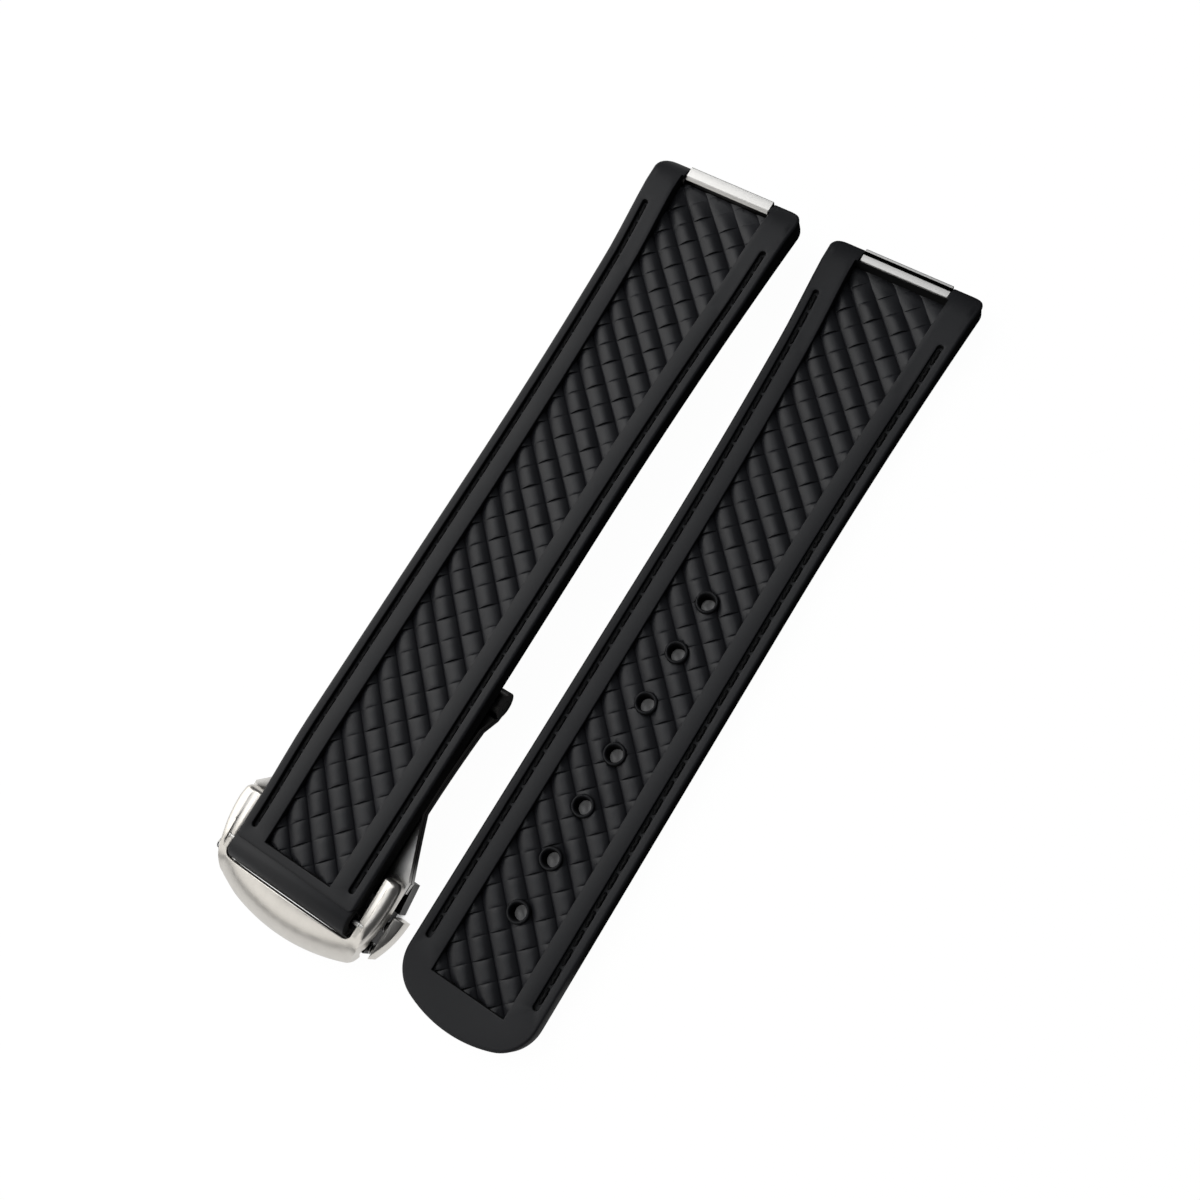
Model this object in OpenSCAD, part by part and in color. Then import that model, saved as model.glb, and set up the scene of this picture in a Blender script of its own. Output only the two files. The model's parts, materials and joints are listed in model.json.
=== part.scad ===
// Two-piece rubber watch strap: a plain half that carries a folding steel clasp, and a
// half with sizing holes. Both halves have a woven inlay between stitched rails, and a
// steel bar at the lug end that takes the watch's spring bar.
// +Y runs along the straps towards the lug ends, +X from the clasp half to the holed half.

/* [Straps] */
// Width of both halves at the lug end
lug_w = 21; // [20:0.1:23]
// Width of both halves along the tail
tail_w = 18; // [17.6:0.1:18.8]
// Length over which the sides flare towards the lug end
taper_len = 48; // [36:1:60]
// Clasp half, from the lug end to the axis of its end roll
strap_a_len = 100.6; // [98:0.1:112]
// Distance that the clasp half's lug end lies behind the holed half's
lug_step = 1.7; // [0:0.1:4]
// Holed half, from the lug end to the tip
strap_b_len = 107; // [104:0.1:116]
// Thickness along the tail
strap_t = 2.7; // [2.6:0.05:3.1]
// Extra thickness at the lug end
lug_rise = 0.9; // [0.6:0.05:1.2]
// Distance from the lug end where the extra thickness starts
rise_start = 16; // [13:0.5:22]
// Length of the rounded lug end
lug_round = 4; // [3.6:0.1:5]
// Height of the lug end's blunt nose
nose_z = 1.3; // [1.1:0.05:1.5]
// Radius of the tip's corners
tip_corner_r = 5; // [4:0.25:6.5]
// Radius of the tip's end arc
tip_arc_r = 16; // [13:0.5:22]
// Gap between the two halves' centre lines
strap_gap = 24; // [24:0.1:32]

/* [Rails and grooves] */
// Width of the outer rail
outer_rail = 0.95; // [0.8:0.05:1.2]
// Width of the stitched groove
groove_w = 0.8; // [0.7:0.05:1]
// Depth of the stitched groove
groove_depth = 0.7; // [0.6:0.05:0.9]
// Distance from the clasp half's lug end to its grooves
groove_start_a = 7.2; // [7:0.1:12]
// Distance from the holed half's lug end to its grooves
groove_start_b = 8.3; // [7:0.1:12]
// Distance from the grooves to the roll's axis on the clasp half
groove_tail_a = 2.5; // [2.3:0.1:5]
// Distance from the grooves to the tip on the holed half
groove_tail_b = 7.4; // [6.5:0.1:10]
// Width of the border from the strap's side to the inlay
border_w = 3.95; // [3.5:0.05:4.2]

/* [Woven inlay] */
// Depth of the pocket that holds the inlay
pocket_depth = 1.4; // [1.2:0.05:1.5]
// Thickness of the inlay's backing
backing_t = 0.4; // [0.3:0.05:0.5]
// Height of the woven ribs over the backing
rib_h = 0.55; // [0.4:0.05:0.6]
// Distance between woven ribs
rib_pitch = 2.65; // [2.3:0.05:3.2]
// Clearance around the inlay
inlay_gap = 0.05; // [0.02:0.01:0.08]
// Distance from the inlay to the roll's axis on the clasp half
inlay_tail_a = 1.8; // [1.6:0.1:4]
// Distance from the inlay to the tip on the holed half
inlay_tail_b = 4.7; // [4.2:0.1:8]

/* [Stitching] */
// Width of one stitch
stitch_w = 0.5; // [0.4:0.02:0.6]
// Length of one stitch
stitch_len = 1.7; // [1.2:0.1:2]
// Height of one stitch
stitch_h = 0.4; // [0.3:0.05:0.5]
// Distance between stitches
stitch_pitch = 2.4; // [2.2:0.1:3.2]

/* [Sizing holes] */
// Number of holes
hole_count = 7; // [5:1:7]
// Distance between holes
hole_pitch = 7; // [6:0.25:7]
// Distance from the tip to the last hole
last_hole = 15.3; // [14.5:0.1:20]
// Radius of the holes
hole_r = 0.9; // [0.85:0.05:1]
// Outer radius of the raised rims
rim_r = 1.4; // [1.3:0.05:1.6]
// Height of the rims under the rails
rim_drop = 0.2; // [0.1:0.05:0.4]
// Radius of the dished mouth
dish_r = 1.2; // [1.15:0.01:1.25]
// Depth of the dished mouth
dish_depth = 0.5; // [0.3:0.05:0.7]

/* [Lug bars] */
// Width of the rubber shoulder beside each lug bar
shoulder_w = 4.5; // [4.2:0.1:4.8]
// Depth of the lug bar along the strap
lug_bar_len = 2.5; // [2.4:0.05:2.8]
// Distance from the lug end to the bar
lug_bar_inset = 0.35; // [0.25:0.05:0.4]
// Height of the bar's top over the strap's underside
lug_bar_top = 2.9; // [2.85:0.05:3.1]
// Thickness of the rubber under the bar
lug_floor = 0.3; // [0.2:0.05:0.35]
// Width of the polished bevel
lug_bevel = 0.5; // [0.3:0.05:0.6]
// Radius of the bore for the watch's spring bar
lug_bore_r = 0.85; // [0.75:0.05:0.9]
// Outer radius of the bar's tube
lug_tube_r = 1.15; // [1.1:0.01:1.2]
// Height of the bore's axis
lug_bore_z = 1.6; // [1.58:0.01:1.62]
// Width of the slit in the holed half's bar
slit_w = 0.25; // [0.2:0.05:0.35]

/* [End roll and spring bar] */
// Radius of the clasp half's end roll
roll_r = 2; // [1.9:0.05:2.1]
// Radius of the spring bar's tube
bar_tube_r = 0.8; // [0.75:0.01:0.9]
// Bore of the spring bar's tube
bar_bore_r = 0.45; // [0.42:0.01:0.5]
// Running clearance around pins
pin_gap = 0.05; // [0.03:0.01:0.08]
// Radius of the spring bar's flanges
flange_r = 0.75; // [0.7:0.01:0.8]
// Thickness of the spring bar's flanges
flange_t = 0.3; // [0.25:0.05:0.35]
// Depth that the tips reach into the ears
tip_reach = 1.1; // [0.9:0.05:1.2]
// Distance that the tips slide in
tip_travel = 1.15; // [1.1:0.05:1.3]

/* [Clasp blades] */
// Thickness of each blade
blade_t = 0.9; // [0.8:0.05:1]
// Gap between the closed blades
blade_gap = 0.2; // [0.15:0.05:0.3]
// Radius of the lower blade's hollow side
wrist_r = 64; // [60:1:80]
// Width of the blades under the strap
blade_w = 17.4; // [16.5:0.1:17.8]
// Radius of the fold hinge's barrel
knuckle_r = 1.7; // [1.6:0.05:1.8]
// Radius of the fold hinge's pin
hinge_pin_r = 0.6; // [0.5:0.05:0.7]
// Width of the middle barrel
mid_knuckle_w = 6; // [4:0.5:8]
// Distance from the end roll's axis to the fold hinge
fold_len = 29.8; // [28:0.1:31]
// Gap between the upper blade and the clasp half
strap_seat_gap = 0.3; // [0.2:0.05:0.4]

/* [Clasp cover] */
// Gap between the end roll and an ear
ear_gap = 1.1; // [1:0.05:1.2]
// Thickness of an ear
ear_t = 1.85; // [1.8:0.05:2]
// Distance from the end roll's axis to the ears' rounded ends
ear_len = 6.3; // [6:0.1:7.5]
// Height of the ears over the end roll's axis
ear_over = 0.65; // [0.6:0.05:0.8]
// Radius of the nose's plan arc
nose_arc_r = 26; // [24:0.5:32]
// Radius of the cover's corners in plan
corner_r = 1.8; // [1.5:0.1:2]
// Distance from the end roll's axis to the nose's edge
nose_len = 6.8; // [6.6:0.1:7.2]
// Radius of the nose's rolled profile
nose_roll_r = 5.4; // [5.2:0.05:5.6]
// Thickness of the nose's sheet
nose_t = 0.9; // [0.8:0.05:1]
// Height of the nose's lower edge over the table
nose_edge_z = 2; // [1.8:0.05:2.2]

/* [Buttons] */
// Distance that a button is pressed
button_travel = 0.5; // [0.4:0.05:0.55]
// Height of a button's lower edge over the table
wing_low = 0.5; // [0.3:0.05:0.8]
// Height of a button's upper edge over the table
wing_high = 3.2; // [2.9:0.05:3.3]
// Radius of the buttons' outer arc
wing_arc_r = 13.3; // [13:0.05:13.8]
// Distance that a button's outer face leans in towards its top
wing_lean = 0.7; // [0.4:0.05:0.8]
// Radius of a button's guide stems
stem_r = 0.4; // [0.35:0.01:0.45]
// Height of a hook's tooth over its plate
lip_h = 0.4; // [0.3:0.05:0.45]
// Reach of a hook's tooth
lip_reach = 0.4; // [0.3:0.05:0.5]

/* [Strap keeper] */
// Height of the keeper's walls
keeper_h = 3.1; // [3:0.05:3.15]
// Thickness of the keeper's walls
keeper_wall = 0.6; // [0.5:0.05:0.65]
// Gap between the strap and the keeper's walls
strap_side_gap = 1.55; // [1.5:0.05:1.6]
// Thickness of the keeper's front bar
front_bar_t = 0.6; // [0.5:0.05:0.7]
// Radius of the sizing stud
stud_r = 0.7; // [0.6:0.05:0.72]
// Height of the stud over its bar
stud_h = 2.1; // [1.8:0.1:2.2]
// Radius of the stud bar's barrel
stud_barrel_r = 0.5; // [0.45:0.01:0.55]
// Radius of the stud bar's pin
stud_pin_r = 0.3; // [0.25:0.01:0.32]

/* [Hidden] */
$fn = 48;

fine_fn = 360;
mid_fn = 96;
eps = 0.01;

// How far a cut runs past the face it opens, and a length beyond every part of the clasp
past = 1;
beyond = 12;
left = -1;
right = 1;
steel = [0.78, 0.77, 0.75];
dark_steel = [0.45, 0.45, 0.44];
rubber = [0.06, 0.06, 0.065];
woven = [0.09, 0.09, 0.1];
thread = [0.02, 0.02, 0.02];

// Heights over the table
hinge_drop = 0.95;
roll_proud = 0.05;
arch_z = knuckle_r + pow(fold_len / 2, 2) / (2 * wrist_r) - hinge_drop;
lower_top_z = arch_z + blade_t;
upper_top_z = lower_top_z + blade_gap + blade_t;
strap_a_z = upper_top_z + strap_seat_gap;
roll_z = strap_a_z + strap_t - roll_r + roll_proud;
pocket_z = strap_t - pocket_depth;
groove_z = strap_t - groove_depth;

// Places along the straps, as distances from the lug end
arch_shift = 2;
hinge_s = strap_a_len - fold_len;
arch_s = strap_a_len - fold_len / 2 + arch_shift;
ear_s = strap_a_len - ear_len;
inlay_s = lug_bar_inset + lug_bar_len + inlay_gap;
lug_bore_s = lug_bar_inset + lug_bar_len / 2;
nose_s = strap_a_len + nose_len;
first_hole_s = strap_b_len - last_hole - (hole_count - 1) * hole_pitch;

// Half widths of the clasp, from the strap's side outwards
ear_in = tail_w / 2 + ear_gap;
ear_out = ear_in + ear_t;
foot_inset = 0.3;
foot_half = ear_out - foot_inset;
wall_in = tail_w / 2 + strap_side_gap;
wall_out = wall_in + keeper_wall;
rivet_x = ear_in + ear_t / 2;
wing_rest_gap = 0.3;
wing_in = wall_out + button_travel + wing_rest_gap;

// Blades: the fold's barrels, the flared ends and their rivets
barrel_over = 0.6;
barrel_half = blade_w / 2 + barrel_over;
barrel_shoulder = 2;
barrel_taper = 4;
flare_len = 7.5;
knuckle_gap = 0.1;
sweep_gap = 0.3;
block_lead = 0.4;
block_s0 = ear_s - block_lead;
block_in = ear_in - 0.4;
block_len = 3.8;
block_flare = 0.4;
block_end_s = block_s0 + block_len;
block_top = 2.1;
head_len = 3.2;
foot_len = 1.4;
foot_end_s = block_s0 + foot_len;
foot_lap = 0.3;
foot_top = 3;
foot_rivet_s = block_s0 + foot_len / 2;
head_low = 3.3;
head_top = 4.15;
cover_rivet_s = block_s0 + block_len / 2;
rivet_r = 0.5;
rivet_gap = 0.02;
rivet_floor = 0.4;
rivet_reach = 1;

// Cover: the ears' height, the roll down to the nose, and the shoulders' plan arc
ear_top = roll_z + ear_over;
roll_gap = 0.25;
nose_roll_z = ear_top - nose_roll_r;
cheek_roll_back = 0.7;
cheek_roll_s = strap_a_len - cheek_roll_back;
cheek_start = 1.2;
cheek_s = strap_a_len + cheek_start;
flank_arc_r = 18;
flank_back = 3.1;
flank_arc_s = strap_a_len - flank_back;
cheek_gap = 0.3;
cheek_low = keeper_h + cheek_gap;
cover_front_gap = 0.2;
hook_slot = 0.35;
tip_end_gap = 0.1;

// Buttons: stems through the keeper's walls, inner plates with a tooth under each ear
wing_back = 2.8;
wing_center_s = strap_a_len - wing_back;
wing_start_gap = 0.4;
wing_s0 = block_end_s + wing_start_gap;
wing_len = 6.2;
wing_half = sqrt(pow(wing_arc_r, 2) - pow(wing_s0 - wing_center_s, 2));
hook_back = 2.4;
hook_s0 = strap_a_len - hook_back;
hook_w = 1.5;
hook_gap = 0.2;
hook_plate_t = 0.55;
hook_clear = 0.05;
hook_in = wall_in - hook_plate_t - hook_clear;
hook_low = 1.2;
plate_end = 0.1;
plate_over = 0.2;
tooth_gap = 0.1;
tooth_z = head_top + tooth_gap;
stem_back = 1;
stem_front = 2;
stem_s = [strap_a_len - stem_back, strap_a_len + stem_front];
stem_z = 1.9;
spring_seat = 0.4;
spring_round = 0.2;
spring_r = stem_r + spring_round;
seat_over = 0.1;

// Keeper: front bar and the hinged bar with its stud
front_reach = 2.8;
front_s1 = strap_a_len + front_reach;
front_bar_len = 1.2;
wall_lead = 2;
stud_pin_front = 0.9;
stud_pin_s = strap_a_len + stud_pin_front;
stud_back = 0.35;
stud_s = strap_a_len - stud_back;
stud_bar_z = 0.05;
stud_pin_z = stud_barrel_r + stud_bar_z;
stud_margin = 0.1;
stud_bar_top = 0.6;
stud_foot_r = 0.5;
stud_chamfer = 0.2;

// Spring bar: the tube, and the tips' flanges and plungers
tip_r = bar_bore_r - pin_gap;
flange_gap = 0.1;
flange_x = ear_in - flange_gap;
bar_end_gap = 0.05;
bar_half = flange_x - flange_t - tip_travel - bar_end_gap;
plunger_len = 3;
coil_half = bar_half - plunger_len;
coil_wire_r = 0.1;
coil_gap = 0.06;
tip_coil_turns = 14;
button_coil_turns = 3;
seat_gap = 0.02;

// Places of the two halves: the whole thing is centred over the origin
lug_y = max(nose_s + lug_step, strap_b_len) / 2;
total_w = max(wing_half, lug_w / 2) + strap_gap + lug_w / 2;
strap_a_x = max(wing_half, lug_w / 2) - total_w / 2;
strap_b_x = strap_a_x + strap_gap;

flare_steps = 12;

// Half width of a strap at a distance s from its lug end
function half_w(s) = tail_w / 2 + (lug_w - tail_w) / 2 * pow(max(0, 1 - s / taper_len), 2);

// Stations between two distances, with one at each step of the flare
function stations(s0, s1) = concat([s0],
    [for (i = [0:flare_steps]) let (s = i * taper_len / flare_steps)
        if (s > s0 + eps && s < s1 - eps) s],
    [s1]);

function reversed(list) = [for (i = [len(list) - 1:-1:0]) list[i]];

// Height of the rubber's top at a distance s from the lug end
function rise(s) = let (u = min(1, max(0, (rise_start - s) / (rise_start - lug_round))))
    strap_t + lug_rise * u * u * (3 - 2 * u);

// Everything on the clasp half and the clasp is placed from the lug end of strap A
module at_a() translate([strap_a_x, lug_y - lug_step, 0]) children();
module at_b() translate([strap_b_x, lug_y, 0]) children();

// Cylinder along X from x0 to x1 at distance s and height z
module x_rod(r, x0, x1, s, z, fn = $fn) translate([x0, -s, z]) rotate([0, 90, 0])
    cylinder(r = r, h = x1 - x0, $fn = fn);

// Box between two corners, given by x, distance from the lug end, and z
module s_box(x0, x1, s0, s1, z0, z1) translate([x0, -s1, z0]) cube([x1 - x0, s1 - s0, z1 - z0]);

// The same box on one side of the clasp, x0 and x1 measured outwards
module side_box(side, x0, x1, s0, s1, z0, z1)
    s_box(side == right ? x0 : -x1, side == right ? x1 : -x0, s0, s1, z0, z1);

// Strip along one side, between two insets from the strap's side
module strip(side, inset0, inset1, s0, s1) {
    st = stations(s0, s1);
    polygon(concat([for (s = st) [side * (half_w(s) - inset0), -s]],
                   [for (s = reversed(st)) [side * (half_w(s) - inset1), -s]]));
}

// Area across the strap, inset from both sides
module band(inset, s0, s1) {
    st = stations(s0, s1);
    polygon(concat([for (s = st) [half_w(s) - inset, -s]],
                   [for (s = reversed(st)) [inset - half_w(s), -s]]));
}

// Side view of the lug end: a blunt rounded nose and the extra thickness behind it
module lug_profile(s_end) {
    nose_steps = 8;
    rise_steps = 8;
    chamfer = 0.5;
    nose = [for (i = [0:nose_steps]) let (a = 90 * i / nose_steps)
        [-lug_round * (1 - sin(a)), nose_z + (rise(lug_round) - nose_z) * (1 - cos(a))]];
    arc = [for (i = [0:nose_steps]) let (a = 90 * i / nose_steps)
        [-lug_round * (1 - cos(a)), nose_z + (rise(lug_round) - nose_z) * sin(a)]];
    ramp = [for (i = [1:rise_steps]) let (s = lug_round + (rise_start - lug_round) * i / rise_steps)
        [-s, rise(s)]];
    polygon(concat([[-s_end, 0], [-chamfer, 0], [0, chamfer]], arc, ramp, [[-s_end, strap_t]]));
}

// The rubber with the lug end's side view, across the full width
module lug_solid(s_end) translate([-lug_w, 0, 0]) rotate([90, 0, 90])
    linear_extrude(2 * lug_w) lug_profile(s_end);

// Cuts that both halves share: pocket, grooves, lug bar seat and lug bore
module rubber_cuts(inlay_end, groove_start, groove_end) {
    translate([0, 0, pocket_z]) linear_extrude(strap_t + lug_rise) band(border_w, inlay_s, inlay_end);
    for (side = [left, right])
        translate([0, 0, groove_z]) linear_extrude(strap_t + lug_rise)
            strip(side, outer_rail, outer_rail + groove_w, groove_start, groove_end);
    bar_half = lug_w / 2 - shoulder_w + inlay_gap;
    s_box(-bar_half, bar_half, -past, inlay_s + eps, lug_floor, strap_t + lug_rise + past);
    x_rod(lug_tube_r + pin_gap, -lug_w, lug_w, lug_bore_s, lug_bore_z);
}

// Outline of the holed half's rounded tip, as points from the right side to the left
function tip_points() = let (
        corner_x = tail_w / 2 - tip_corner_r,
        arc_s = strap_b_len - tip_arc_r,
        corner_s = arc_s + sqrt(pow(tip_arc_r - tip_corner_r, 2) - pow(corner_x, 2)),
        turn = atan2(corner_s - arc_s, corner_x),
        steps = 6,
        side_arc = [for (i = [0:steps]) let (a = turn * i / steps)
            [corner_x + tip_corner_r * cos(a), -(corner_s + tip_corner_r * sin(a))]],
        end_arc = [for (i = [1:steps]) let (a = turn + (90 - turn) * i / steps)
            [tip_arc_r * cos(a), -(arc_s + tip_arc_r * sin(a))]])
    concat(side_arc, end_arc, [for (p = reversed(concat(side_arc, end_arc))) [-p[0], p[1]]]);

// Seat of a rounded, dished sizing hole's rim
module rims(r, z0, z1) for (i = [0:hole_count - 1])
    translate([0, -(first_hole_s + i * hole_pitch), z0]) cylinder(r = r, h = z1 - z0);

module strap_a_rubber() color(rubber) at_a() translate([0, 0, strap_a_z]) {
    difference() {
        union() {
            intersection() {
                linear_extrude(strap_t + lug_rise) band(0, 0, strap_a_len);
                lug_solid(strap_a_len);
            }
            x_rod(roll_r, -tail_w / 2, tail_w / 2, strap_a_len, roll_z - strap_a_z);
        }
        rubber_cuts(strap_a_len - inlay_tail_a, groove_start_a, strap_a_len - groove_tail_a);
        x_rod(bar_tube_r + pin_gap, -tail_w, tail_w, strap_a_len, roll_z - strap_a_z);
    }
}

module strap_b_rubber() color(rubber) at_b() difference() {
    union() {
        difference() {
            intersection() {
                linear_extrude(strap_t + lug_rise) union() {
                    band(0, 0, taper_len);
                    polygon(concat([[tail_w / 2, -taper_len + eps]], tip_points(),
                                   [[-tail_w / 2, -taper_len + eps]]));
                }
                lug_solid(strap_b_len + past);
            }
            rubber_cuts(strap_b_len - inlay_tail_b, groove_start_b, strap_b_len - groove_tail_b);
        }
        rims(rim_r, pocket_z - eps, strap_t - rim_drop);
    }
    rims(hole_r, -past, strap_t + past);
    for (i = [0:hole_count - 1]) translate([0, -(first_hole_s + i * hole_pitch), 0])
        rotate_extrude() polygon([[0, strap_t - rim_drop - dish_depth],
            [hole_r, strap_t - rim_drop - dish_depth], [dish_r, strap_t - rim_drop + eps],
            [0, strap_t - rim_drop + eps]]);
}

// Woven inlay: a backing with round ribs at 45 degrees, each rib cut across into cells
module weave(inlay_end) {
    seam_w = 0.12;
    chord = rib_pitch - seam_w;
    rib_r = (pow(chord / 2, 2) + pow(rib_h, 2)) / (2 * rib_h);
    reach = lug_w;
    step = rib_pitch * sqrt(2);
    count = ceil((inlay_end + lug_w) / step);
    cut_w = 0.16;
    cut_depth = 0.25;
    top = backing_t + rib_h;
    linear_extrude(backing_t) band(border_w + inlay_gap, inlay_s + inlay_gap, inlay_end - inlay_gap);
    intersection() {
        translate([0, 0, backing_t - eps]) linear_extrude(rib_h + 2 * eps)
            band(border_w + inlay_gap, inlay_s + inlay_gap, inlay_end - inlay_gap);
        difference() {
            for (i = [0:count]) translate([0, lug_w / 2 - i * step, top - rib_r])
                rotate([0, 0, 135]) rotate([0, 90, 0])
                    cylinder(r = rib_r, h = 2 * reach, center = true, $fn = mid_fn);
            for (i = [0:count]) translate([0, lug_w / 2 - (i + 0.5) * step, top])
                rotate([0, 0, 45]) cube([2 * reach, cut_w, 2 * cut_depth], center = true);
        }
    }
}

module strap_a_weave() color(woven) at_a() translate([0, 0, strap_a_z + pocket_z])
    weave(strap_a_len - inlay_tail_a);

module strap_b_weave() color(woven) at_b() translate([0, 0, pocket_z]) difference() {
    weave(strap_b_len - inlay_tail_b);
    rims(rim_r + inlay_gap, -past, strap_t);
}

// One row of stitches on the floor of a groove
module stitch_row(side, groove_start, groove_end) {
    margin = 0.6;
    count = floor((groove_end - groove_start - 2 * margin - stitch_len) / stitch_pitch);
    inset = outer_rail + groove_w / 2;
    for (i = [0:count]) {
        s = groove_start + margin + stitch_len / 2 + i * stitch_pitch;
        slope = atan2(half_w(s - 1) - half_w(s + 1), 2);
        translate([side * (half_w(s) - inset), -s, groove_z + stitch_h / 2])
            rotate([0, 0, -side * slope]) cube([stitch_w, stitch_len, stitch_h], center = true);
    }
}

module strap_a_stitches(side) color(thread) at_a() translate([0, 0, strap_a_z])
    stitch_row(side, groove_start_a, strap_a_len - groove_tail_a);
module strap_b_stitches(side) color(thread) at_b()
    stitch_row(side, groove_start_b, strap_b_len - groove_tail_b);

// Steel lug bar: a bevelled block between the shoulders on a tube that runs into them
module lug_bar(slit) color(steel) {
    tube_inset = 0.4;
    slit_margin = 0.4;
    slit_back = 0.1;
    slit_depth = 0.2;
    half = lug_w / 2 - shoulder_w;
    tube_half = half_w(lug_bore_s) - tube_inset;
    s0 = lug_bar_inset;
    s1 = s0 + lug_bar_len;
    difference() {
        union() {
            translate([-half, 0, 0]) rotate([90, 0, 90]) linear_extrude(2 * half)
                polygon([[-s1, lug_floor], [-s0, lug_floor], [-s0, lug_bar_top - 2 * lug_bevel],
                    [-s0 - lug_bevel / 2, lug_bar_top - lug_bevel / 2],
                    [-s0 - lug_bevel, lug_bar_top], [-s1 + lug_bevel, lug_bar_top],
                    [-s1, lug_bar_top - 1.2 * lug_bevel]]);
            x_rod(lug_tube_r, -tube_half, tube_half, lug_bore_s, lug_bore_z);
        }
        x_rod(lug_bore_r, -lug_w, lug_w, lug_bore_s, lug_bore_z);
        if (slit) s_box(slit_margin - half, half - slit_margin, s0 + lug_bevel + slit_back,
                        s0 + lug_bevel + slit_back + slit_w, lug_bar_top - slit_depth, lug_bar_top + past);
    }
}

module strap_a_lug_bar() at_a() translate([0, 0, strap_a_z]) lug_bar(false);
module strap_b_lug_bar() at_b() lug_bar(true);

// Plan of a blade: narrow under the strap, flared out where it meets the clasp's walls
module blade_plan(s_end) {
    half = blade_w / 2;
    points = [[barrel_half, hinge_s - 2 * knuckle_r], [barrel_half, hinge_s + barrel_shoulder],
              [half, hinge_s + barrel_taper],
              [half, block_s0 - flare_len], [foot_half, block_s0], [foot_half, s_end]];
    polygon(concat([for (p = points) [p[0], -p[1]]],
                   [for (p = reversed(points)) [-p[0], -p[1]]]));
}

// Part of a ring about the wrist's axis, cut to a blade's plan
module arched_blade(crown_z, s_end) intersection() {
    difference() {
        x_rod(wrist_r + crown_z - arch_z + blade_t, -lug_w, lug_w, arch_s, arch_z - wrist_r, fine_fn);
        x_rod(wrist_r + crown_z - arch_z, -lug_w - past, lug_w + past, arch_s, arch_z - wrist_r, fine_fn);
    }
    intersection() {
        linear_extrude(beyond) blade_plan(s_end);
        s_box(-lug_w, lug_w, hinge_s, s_end, 0, beyond);
    }
}

// Places of the rivets through the flared ends, one on each side
module rivet_pair(s, z0, z1, r) for (side = [left, right])
    translate([side * rivet_x, -s, z0]) cylinder(r = r, h = z1 - z0);

module lower_blade() color(steel) at_a() difference() {
    union() {
        arched_blade(arch_z, block_s0 + foot_lap);
        for (side = [left, right]) {
            x_rod(knuckle_r, side == right ? mid_knuckle_w / 2 + knuckle_gap : -barrel_half,
                  side == right ? barrel_half : -mid_knuckle_w / 2 - knuckle_gap, hinge_s, knuckle_r);
        }
        s_box(-foot_half, foot_half, block_s0, foot_end_s, block_top, foot_top);
    }
    s_box(-mid_knuckle_w / 2 - knuckle_gap, mid_knuckle_w / 2 + knuckle_gap,
          hinge_s - knuckle_r - past, hinge_s + knuckle_r + sweep_gap, -past, beyond);
    x_rod(hinge_pin_r + pin_gap, -lug_w, lug_w, hinge_s, knuckle_r);
    rivet_pair(foot_rivet_s, 0, beyond, rivet_r + rivet_gap);
}

// Plan of the cover with straight flanks, round corners and an arched nose
module cover_plan() {
    arc_s = nose_s - nose_arc_r;
    corner_x = ear_out - corner_r;
    corner_s = arc_s + sqrt(pow(nose_arc_r - corner_r, 2) - pow(corner_x, 2));
    tangent_x = corner_x * nose_arc_r / (nose_arc_r - corner_r);
    translate([-ear_out, -corner_s]) square([2 * ear_out, corner_s - ear_s]);
    for (side = [left, right]) translate([side * corner_x, -corner_s]) circle(r = corner_r);
    intersection() {
        translate([-tangent_x, -nose_s]) square([2 * tangent_x, nose_s - ear_s]);
        translate([0, -arc_s]) circle(r = nose_arc_r, $fn = fine_fn);
    }
}

// The same plan with its flanks bowed
module cover_outline() intersection() {
    cover_plan();
    translate([ear_out - flank_arc_r, -flank_arc_s]) circle(r = flank_arc_r, $fn = fine_fn);
    translate([flank_arc_r - ear_out, -flank_arc_s]) circle(r = flank_arc_r, $fn = fine_fn);
}

// Strap keeper: blocks under the blade's foot, side walls for the buttons, a low front bar
module keeper_frame() color(dark_steel) at_a() difference() {
    union() {
        for (side = [left, right]) {
            linear_extrude(block_top) polygon([
                [side * block_in, -block_s0], [side * foot_half, -block_s0],
                [side * (foot_half + block_flare), -block_end_s], [side * block_in, -block_end_s]]);
            side_box(side, wall_in, wall_out, block_s0 + wall_lead, front_s1, 0, keeper_h);
        }
        s_box(-wall_out, wall_out, front_s1 - front_bar_len, front_s1, 0, front_bar_t);
    }
    rivet_pair(foot_rivet_s, rivet_floor, beyond, rivet_r + rivet_gap);
    for (s = stem_s) x_rod(stem_r + pin_gap, -lug_w, lug_w, s, stem_z);
    x_rod(stud_pin_r + pin_gap, -lug_w, lug_w, stud_pin_s, stud_pin_z);
}

module keeper_rivets() color(steel) at_a() rivet_pair(foot_rivet_s, rivet_floor, foot_top, rivet_r);

module hinge_pin() color(steel) at_a()
    x_rod(hinge_pin_r, -barrel_half, barrel_half, hinge_s, knuckle_r);

module stud_bar_pin() color(steel) at_a()
    x_rod(stud_pin_r, -wall_out, wall_out, stud_pin_s, stud_pin_z);

module stud_bar() color(steel) at_a() difference() {
    union() {
        x_rod(stud_barrel_r, -tail_w / 2, tail_w / 2, stud_pin_s, stud_pin_z);
        s_box(-tail_w / 2, tail_w / 2, stud_s - stud_r - stud_margin, stud_pin_s, stud_bar_z, stud_bar_top);
    }
    x_rod(stud_pin_r + pin_gap, -lug_w, lug_w, stud_pin_s, stud_pin_z);
    translate([0, -stud_s, -past]) cylinder(r = stud_foot_r, h = beyond);
}

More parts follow.
